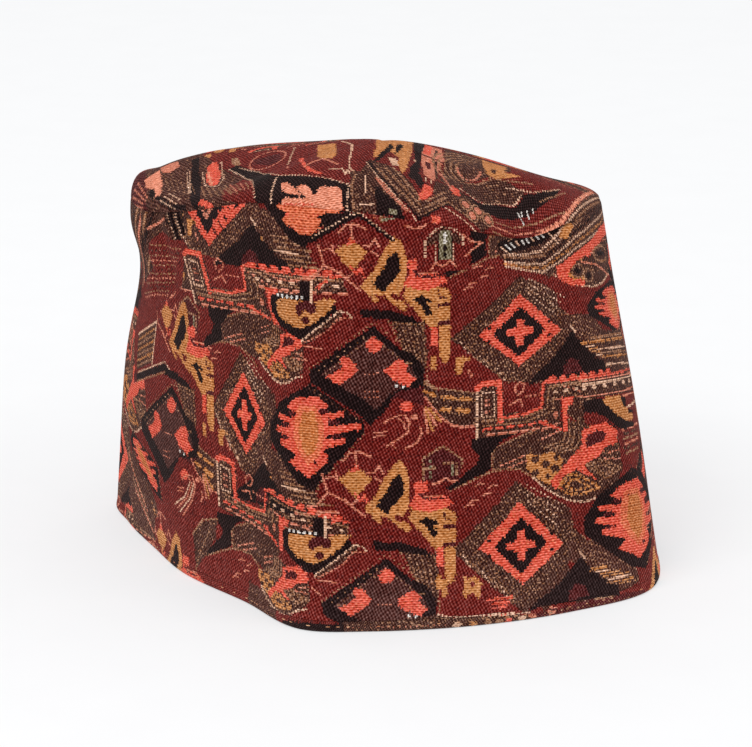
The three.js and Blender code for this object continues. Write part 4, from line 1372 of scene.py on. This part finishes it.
def makeCrown(materials):
    cell = flatPlan["cell"]
    around, angle, reach, inwardAt = layCrown()
    half = math.ceil(reach.max() / cell) + 2
    across, up = np.meshgrid(np.arange(-half, half + 1), np.arange(-half, half + 1))
    flat = np.stack([across, up], -1).reshape(-1, 2) * cell
    away = np.hypot(*flat.T)
    towardsPoint = angle[0] + np.mod(np.arctan2(flat[:, 1], flat[:, 0]) - angle[0], 2 * math.pi)
    place = np.interp(towardsPoint, angle, around)
    edgeAway = np.interp(place, around, reach)
    inside = ((edgeAway - away) / cell).reshape(across.shape)
    onEdge, used, faces, cells = cellSheet(inside)
    share = np.clip(np.where(onEdge, 1, away / edgeAway), 0, 1)
    place, share, edgeAway = place[used], share[used], edgeAway[used]

    def inwardOf(place, share):
        k = place * crownCut["rulings"]
        m = share * crownCut["rings"]
        k0 = np.clip(np.floor(k).astype(int), 0, crownCut["rulings"] - 1)
        m0 = np.clip(np.floor(m).astype(int), 0, crownCut["rings"] - 1)
        k, m = k - k0, m - m0
        low = inwardAt[k0, m0] * (1 - m) + inwardAt[k0, m0 + 1] * m
        high = inwardAt[k0 + 1, m0] * (1 - m) + inwardAt[k0 + 1, m0 + 1] * m
        return low * (1 - k) + high * k

    def crownFace(place, share):
        return crownPoint(place, inwardOf(np.mod(place, 1), np.clip(share, 0, 1)))

    points = crownFace(place, share)
    tuck = crownCut["tuck"] * np.clip(1 - (1 - share) * edgeAway / crownCut["edge"], 0, 1) ** 2
    seamNormal = normalOf(bandSheet, place, np.ones_like(place))
    settle = [0, 0, capForm["gap"] - crownCut["lift"]] * (share[:, None] ** crownCut["steep"])
    points = points - seamNormal * tuck[:, None] - settle
    places = np.stack([across.ravel(), up.ravel()], 1)[used] + 0.0
    squares = {name: cells - half + offset for name, offset in quarters.items()}

    rows, count = crownCut["rows"], crownCut["columns"]
    innerShare, innerPlace = np.meshgrid(np.linspace(1, 1 / rows, rows), np.arange(count) / count,
                                         indexing="ij")
    under = crownFace(innerPlace, innerShare)
    step = 1e-3
    alongUnder = crownFace(innerPlace, innerShare - step) - under
    roundUnder = crownFace(np.mod(innerPlace + step, 1), innerShare) - under
    under = under - unit(np.cross(roundUnder, alongUnder)) * capForm["cloth"]
    pole = np.array([[*capForm["middle"], capForm["height"] - capForm["cloth"]]])
    grid = len(points) + np.arange(rows * count).reshape(rows, count)
    walls = gridFaces(rows, count, len(points), (False, True)).tolist()
    last = np.append(grid[-1], grid[-1, 0])
    walls += [[len(points) + rows * count, b, a] for a, b in zip(last[:-1], last[1:])]
    outer = borderLoop(faces)
    at = np.concatenate([place, innerPlace.ravel()])
    walls += joinLoops(outer, at[outer], grid[0], at[grid[0]], 1)
    radius, turn = innerShare.ravel() * crownCut["reverse"], innerPlace.ravel() * 2 * math.pi
    spread = np.stack([radius * np.cos(turn), radius * np.sin(turn)], 1)
    places = np.concatenate([places, spread, [[0, 0]]])
    points = np.concatenate([points, under.reshape(-1, 3), pole])
    everyFace = faces + walls
    return makePiece("crown_cloth", points, everyFace, crownCloth, squares, loopWeave(everyFace, places),
                     materials)


# The hem is the same cloth turned under, round at its foot: how far out from the band's face, how high
hemRoll = {"columns": 640, "girth": 557, "section": [
    (-0.55, 3.66), (-0.05, 3.5), (0.03, 3.0), (0.14, 2.4), (0.22, 1.8), (0.24, 1.25), (0.12, 0.7),
    (-0.16, 0.28), (-0.6, 0.04),
    (-1.1, 0.0), (-1.6, 0.1), (-2.05, 0.45), (-2.3, 1.0), (-2.3, 2.9), (-2.1, 3.4), (-1.6, 3.62),
]}


def makeHem(materials):
    count = hemRoll["columns"]
    around = np.arange(count) / count
    rings = []
    for out, high in hemRoll["section"]:
        level = high / seamCurve(around)[:, 2]
        point = bandPoint(around, level) + normalOf(bandPoint, around, level) * out
        point[:, 2] = high
        rings.append(point)
    points = np.concatenate(rings)
    rows = len(rings)
    faces = gridFaces(rows, count, closed=(True, True)).tolist()

    # the band's chart goes on below its foot, measured down the section
    section = np.array(hemRoll["section"] + hemRoll["section"][:1])
    down = np.concatenate([[0], np.hypot(*np.diff(section, axis=0).T).cumsum()])
    spot = leftEnd + np.mod(around - leftEnd, 1)
    foot, top = flatPoint(spot, np.zeros(count)), flatPoint(spot, np.ones(count))
    below = -unit(top - foot)
    ahead = np.stack([-below[:, 1], below[:, 0]], 1)
    step = hemRoll["girth"] / count
    squares = {}
    for name, (right, high) in quarters.items():
        drop = down[:-1] + np.diff(down) * (1 - high)
        flat = foot[None] + below[None] * drop[:, None, None] + ahead[None] * step * right
        squares[name] = flat.reshape(-1, 2) / flatPlan["cell"]
    column, row = np.meshgrid(np.arange(count), np.arange(rows))
    corner = np.stack([column, -row], -1).reshape(-1, 1, 2)
    weaveAt = corner + np.array([[0, 0], [0, -1], [1, -1], [1, 0]])
    return makePiece("rim_hem_cloth", points, faces, bandCloth, squares, weaveAt.astype(float), materials)


class Wire:
    # a shader value that takes part in sums
    def __init__(self, socket):
        self.socket = socket

    def maths(self, operation, *others):
        node = self.socket.id_data.nodes.new("ShaderNodeMath")
        node.operation = operation
        for slot, value in zip(node.inputs, (self, *others)):
            plug(slot, value)
        return Wire(node.outputs[0])

    def swapped(self, operation, other):
        node = self.socket.id_data.nodes.new("ShaderNodeMath")
        node.operation = operation
        plug(node.inputs[0], other)
        plug(node.inputs[1], self)
        return Wire(node.outputs[0])

    def __add__(self, other):
        return self.maths("ADD", other)

    def __radd__(self, other):
        return self.swapped("ADD", other)

    def __sub__(self, other):
        return self.maths("SUBTRACT", other)

    def __rsub__(self, other):
        return self.swapped("SUBTRACT", other)

    def __mul__(self, other):
        return self.maths("MULTIPLY", other)

    def __rmul__(self, other):
        return self.swapped("MULTIPLY", other)

    def __gt__(self, other):
        return self.maths("GREATER_THAN", other)

    def clamped(self):
        return self.maths("MINIMUM", 1.0).maths("MAXIMUM", 0.0)


def plug(slot, value):
    if isinstance(value, Wire):
        slot.id_data.links.new(slot, value.socket)
    else:
        slot.default_value = value


class Finish:
    # one material and the nodes it is made of
    def __init__(self, name):
        self.material = bpy.data.materials.new(name)
        self.material.use_nodes = True
        self.tree = self.material.node_tree
        self.tree.nodes.clear()

    def node(self, kind, settings=None, inputs=None, output=0):
        node = self.tree.nodes.new(kind)
        for name, value in (settings or {}).items():
            setattr(node, name, value)
        for slot, value in (inputs or {}).items():
            plug(node.inputs[slot], value)
        return Wire(node.outputs[output])

    def mix(self, share, a, b):
        return self.node("ShaderNodeMix", {"data_type": "RGBA"}, {0: share, 6: a, 7: b}, 2)

    def weave(self):
        # place in the weave, then that across and up
        place = self.node("ShaderNodeUVMap", {"uv_map": "weave"})
        return place, *(self.node("ShaderNodeSeparateXYZ", None, {0: place}, axis) for axis in (0, 1))

    def solid(self):
        return self.node("ShaderNodeTexCoord", None, None, 3)

    def noise(self, at, scale, detail=2.0):
        return self.node("ShaderNodeTexNoise", None, {"Vector": at, "Scale": scale, "Detail": detail})

    def bump(self, height, distance):
        return self.node("ShaderNodeBump", None, {"Height": height, "Distance": distance, "Strength": 1.0})

    def done(self, inputs):
        shader = self.node("ShaderNodeBsdfPrincipled", None, inputs)
        output = self.tree.nodes.new("ShaderNodeOutputMaterial")
        plug(output.inputs["Surface"], shader)
        return self.material


clothLook = {
    "twill": (0.85, 0.37), "cross": (0.55, -0.71),    # slants of dark yarns: turns to a cell, along and up
    "rib": 1.1, "brick": (0.5, 0.56),                 # level lines of light ones, broken like bricks
    "shares": (0.55, 0.45, 0.5, 0.2),                 # of these four in the relief
    "light": 0.58,                                    # redder than this is a light yarn
    "grain": (0.03, 0.66, 0.2),                       # its strength: least, with lightness, most
    "sway": (260.0, 1.2), "fuzz": (1100.0, 2.4), "mottle": (90.0, 0.06),      # scale and strength
    "rough": (0.8, 0.96), "shine": 0.06, "sheen": 0.03, "bump": 0.0002,
    "paintedFloorLight": (0.06, 0.03),                             # painted light from the floor: paler at the rim, and up to this height in metres
}
# patch: scale, contrast and cut of the noise between the two colours
reverseLook = {"yarn": (96, 40, 36), "fleck": (150, 100, 78), "patch": (0.35, 3.0, 1.2),
               "rough": 0.95, "bump": 0.0002}
threadLook = {"light": (224, 170, 128), "deep": (196, 118, 76), "patch": (260.0, 4.0, 1.5),
              "rough": 0.8, "twist": 2600, "bump": 0.00005}
gamma = 2.2


def colour(rgb):
    return (*linear(rgb), 1.0)


def wovenCloth():
    finish = Finish("woven_cloth")
    across, up = finish.weave()[1:]
    right = across.maths("FRACT") > 0.5
    upper = up.maths("FRACT") > 0.5
    yarn = {name: finish.node("ShaderNodeAttribute", {"attribute_name": name}) for name in quarters}
    low = finish.mix(right, yarn["yarn00"], yarn["yarn10"])
    high = finish.mix(right, yarn["yarn01"], yarn["yarn11"])
    dyedYarn = finish.mix(upper, low, high)
    parts = [finish.node("ShaderNodeSeparateColor", None, {0: dyedYarn}, k) for k in range(3)]
    parts = [part.maths("POWER", 1 / gamma) for part in parts]
    lightness = 0.3 * parts[0] + 0.59 * parts[1] + 0.11 * parts[2]
    light = parts[0] > clothLook["light"]

    solid = finish.solid()
    swayScale, swaying = clothLook["sway"]
    mottleScale, mottled = clothLook["mottle"]
    fuzzScale, fuzzed = clothLook["fuzz"]
    sway = finish.noise(solid, swayScale, 1.0) * swaying

    def wave(turns):
        return ((across * turns[0] + up * turns[1] + sway) * math.tau).maths("SINE")

    slant, cross, level, brick = clothLook["shares"]
    twill = slant * wave(clothLook["twill"]) + cross * wave(clothLook["cross"])
    along, over = clothLook["brick"]
    rib = level * wave((0, clothLook["rib"])) + brick * wave((along, over)) + brick * wave((along, -over))
    relief = rib * light + twill * (1.0 - light)
    mottle = finish.noise(solid, mottleScale, 3.0)
    fuzz = finish.noise(solid, fuzzScale)
    least, more, most = clothLook["grain"]
    strength = (least + more * lightness).maths("MINIMUM", most)
    grain = strength * (relief + fuzzed * (fuzz - 0.5)) + mottled * (mottle - 0.5)
    # painted light: the cloth's colour is made paler towards the rim, as if lit from the floor below
    paintedFloorLight, reach = clothLook["paintedFloorLight"]
    height = finish.node("ShaderNodeSeparateXYZ", None, {0: solid}, 2)
    grain = grain + (paintedFloorLight - paintedFloorLight / reach * height).maths("MAXIMUM", 0.0)
    tones = [(part + grain).maths("MAXIMUM", 0.02).maths("POWER", gamma) for part in parts]
    smooth, dull = clothLook["rough"]
    return finish.done({
        "Base Color": finish.node("ShaderNodeCombineColor", None, dict(enumerate(tones))),
        "Roughness": smooth + (dull - smooth) * fuzz,
        "Specular IOR Level": clothLook["shine"],
        "Sheen Weight": clothLook["sheen"],
        "Sheen Roughness": 0.45,
        "Sheen Tint": (1.0, 0.8, 0.72, 1.0),
        "Normal": finish.bump(relief, clothLook["bump"]),
    })


def reverseCloth():
    finish = Finish("cloth_reverse")
    place, across, up = finish.weave()
    twill = ((across * 2 + up) * math.tau).maths("SINE")
    scale, contrast, cut = reverseLook["patch"]
    fleck = (finish.noise(place, scale, 4.0) * contrast - cut + 0.2 * twill).clamped()
    return finish.done({
        "Base Color": finish.mix(fleck, colour(reverseLook["yarn"]), colour(reverseLook["fleck"])),
        "Roughness": reverseLook["rough"],
        "Normal": finish.bump(twill, reverseLook["bump"]),
    })


def hemThread():
    finish = Finish("hem_thread")
    solid = finish.solid()
    scale, contrast, cut = threadLook["patch"]
    twist = finish.node("ShaderNodeTexWave", {"bands_direction": "DIAGONAL"},
                        {"Vector": solid, "Scale": threadLook["twist"]}, 1)
    share = (finish.noise(solid, scale) * contrast - cut).clamped()
    return finish.done({
        "Base Color": finish.mix(share, colour(threadLook["deep"]), colour(threadLook["light"])),
        "Roughness": threadLook["rough"],
        "Normal": finish.bump(twist, threadLook["bump"]),
    })


stitchRow = {"high": 1.9, "out": 0.22, "sunk": 0.1, "points": 900, "pitch": 3.1, "long": 1.5, "thick": 0.36,
             "least": (0.7, 0.8, 0.8), "most": (1.2, 1.1, 1.1), "seed": 4, "kept": 0.5}


def makeStitches(material):
    count = stitchRow["points"]
    around = np.arange(count) / count
    level = stitchRow["high"] / seamCurve(around)[:, 2]
    out = stitchRow["out"] - stitchRow["sunk"]
    path = bandPoint(around, level) + normalOf(bandPoint, around, level) * out
    path[:, 2] = stitchRow["high"]
    mesh = bpy.data.meshes.new("hem_stitches")
    mesh.from_pydata((path + capShift) * mm, [(k, (k + 1) % count) for k in range(count)], [])
    piece = bpy.data.objects.new("hem_stitches", mesh)
    bpy.context.collection.objects.link(piece)

    tree = bpy.data.node_groups.new("running_stitch", "GeometryNodeTree")
    tree.interface.new_socket("Geometry", in_out="INPUT", socket_type="NodeSocketGeometry")
    sockets = {name: tree.interface.new_socket(name, in_out="INPUT", socket_type=kind) for name,
               kind in (("Pitch", "NodeSocketFloat"), ("Kept", "NodeSocketFloat"),
                        ("Seed", "NodeSocketInt"), ("Size", "NodeSocketVector"))}
    tree.interface.new_socket("Geometry", in_out="OUTPUT", socket_type="NodeSocketGeometry")

    def node(kind, settings=None, inputs=None):
        made = tree.nodes.new(kind)
        for name, value in (settings or {}).items():
            setattr(made, name, value)
        for slot, value in (inputs or {}).items():
            if isinstance(value, bpy.types.NodeSocket):
                tree.links.new(made.inputs[slot], value)
            else:
                made.inputs[slot].default_value = value
        return made

    given = node("NodeGroupInput")
    curve = node("GeometryNodeMeshToCurve", None, {"Mesh": given.outputs["Geometry"]})
    spaced = node("GeometryNodeResampleCurve", {"mode": "LENGTH"},
                  {"Curve": curve.outputs[0], "Length": given.outputs["Pitch"]})
    chosen = node("FunctionNodeRandomValue", {"data_type": "BOOLEAN"},
                  {"Probability": given.outputs["Kept"], "Seed": given.outputs["Seed"]})
    length = node("FunctionNodeRandomValue", {"data_type": "FLOAT_VECTOR"},
                  {0: stitchRow["least"], 1: stitchRow["most"], "Seed": given.outputs["Seed"]})
    size = node("ShaderNodeVectorMath", {"operation": "MULTIPLY"},
                {0: given.outputs["Size"], 1: length.outputs[0]})
    tangent = node("GeometryNodeInputTangent")
    turn = node("FunctionNodeAlignRotationToVector", {"axis": "X"}, {"Vector": tangent.outputs[0]})
    bead = node("GeometryNodeMeshUVSphere", None, {"Segments": 10, "Rings": 7, "Radius": 0.5})
    placed = node("GeometryNodeInstanceOnPoints", None, {
        "Points": spaced.outputs[0], "Selection": chosen.outputs[3], "Instance": bead.outputs[0],
        "Rotation": turn.outputs[0], "Scale": size.outputs[0]})
    real = node("GeometryNodeRealizeInstances", None, {"Geometry": placed.outputs[0]})
    smooth = node("GeometryNodeSetShadeSmooth", None, {"Geometry": real.outputs[0]})
    dressed = node("GeometryNodeSetMaterial", None, {"Geometry": smooth.outputs[0], "Material": material})
    node("NodeGroupOutput", None, {"Geometry": dressed.outputs[0]})

    sewing = piece.modifiers.new("running_stitch", "NODES")
    sewing.node_group = tree
    sewing[sockets["Pitch"].identifier] = stitchRow["pitch"] * mm
    sewing[sockets["Kept"].identifier] = stitchRow["kept"]
    sewing[sockets["Seed"].identifier] = stitchRow["seed"]
    sewing[sockets["Size"].identifier] = [stitchRow["long"] * mm, stitchRow["thick"] * mm,
                                          stitchRow["thick"] * mm]
    graph = bpy.context.evaluated_depsgraph_get()
    sewn = bpy.data.meshes.new_from_object(piece.evaluated_get(graph))
    piece.modifiers.clear()
    piece.data = sewn
    print("hem stitched:", len(sewn.polygons), "faces")
    return piece


# the solids stand with the middle of their box on the origin, so the same shift goes to the cloth
probes = 90
probe = bandSheet(*np.meshgrid(np.arange(probes) / probes, [0.0, 1.0], indexing="ij")).reshape(-1, 3)
low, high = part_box("side_band")
capShift = np.array([*((np.array(low) + np.array(high)) / 2 / mm - (probe.min(0) + probe.max(0)) / 2)[:2],
                     0.0])
print("shift to the frame, mm:", capShift.round(3))

cloth, reverse, thread = wovenCloth(), reverseCloth(), hemThread()
band = makeBand([cloth, reverse])
crown = makeCrown([cloth, reverse])
hem = makeHem([cloth])
stitches = makeStitches(thread)

for piece, node, slot in ((band, "side_band", "band_cloth"), (crown, "crown", "crown_cloth"),
                          (hem, "rim_hem", "hem_cloth")):
    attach(piece, "root")
    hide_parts(node)
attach(stitches, "root")


crownAngle, crownReach = layCrown()[1:3]


# Floor, light and camera
studio = {"floor": 8.0, "paper": (0.42, 0.423, 0.428), "glow": 0.5, "world": 0.92,
          "grain": (40.0, 0.01),                            # scale and depth
          "key": (17.0, 1.2, (-0.9, -1.1, 1.9)),            # power, size and place
          "fill": (6.0, 1.6, (1.6, -0.9, 1.3))}


def makeFloor():
    half = studio["floor"] / 2
    mesh = bpy.data.meshes.new("floor")
    mesh.from_pydata([(-half, -half, 0), (half, -half, 0), (half, half, 0), (-half, half, 0)], [],
                     [(0, 1, 2, 3)])
    finish = Finish("floor_paper")
    solid = finish.solid()
    scale, depth = studio["grain"]
    grain = finish.noise(solid, scale)
    pale, paler = ([part + step for part in studio["paper"]] + [1] for step in (-depth, depth))
    mesh.materials.append(finish.done({
        "Base Color": finish.mix(grain, pale, paler), "Roughness": 1.0, "Specular IOR Level": 0.0,
        # lit from below too
        "Emission Color": (0.985, 0.99, 1.0, 1.0), "Emission Strength": studio["glow"]}))
    floor = bpy.data.objects.new("floor", mesh)
    bpy.context.collection.objects.link(floor)
    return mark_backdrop(floor)


def addLight(name, power, size, at, to=(0, 0, 0.05)):
    light = bpy.data.lights.new(name, "AREA")
    light.energy = power
    light.size = size
    lamp = bpy.data.objects.new(name, light)
    lamp.location = at
    lamp.rotation_euler = (Vector(to) - Vector(at)).to_track_quat("-Z", "Y").to_euler()
    bpy.context.collection.objects.link(lamp)


makeFloor()
for name in ("key", "fill"):
    addLight(name, *studio[name])
world = bpy.data.worlds.new("studio")
bpy.context.scene.world = world
world.use_nodes = True
world.node_tree.nodes["Background"].inputs[0].default_value = (1, 1, 1, 1)
world.node_tree.nodes["Background"].inputs[1].default_value = studio["world"]
bpy.context.scene.view_settings.view_transform = "Standard"

cameraPlan = {"target": (-1.6, -13.0, 60.0), "distance": 1000.0, "elevation": 17.0, "lens": 148.4}
tilt = math.radians(cameraPlan["elevation"])
sight = Vector(cameraPlan["target"]) * mm
camera = bpy.data.cameras.new("camera")
camera.lens = cameraPlan["lens"]
camera.sensor_width = 36
viewer = bpy.data.objects.new("camera", camera)
viewer.location = sight + Vector((0, -math.cos(tilt), math.sin(tilt))) * cameraPlan["distance"] * mm
viewer.rotation_euler = (math.pi / 2 - tilt, 0, 0)
bpy.context.collection.objects.link(viewer)
bpy.context.scene.camera = viewer
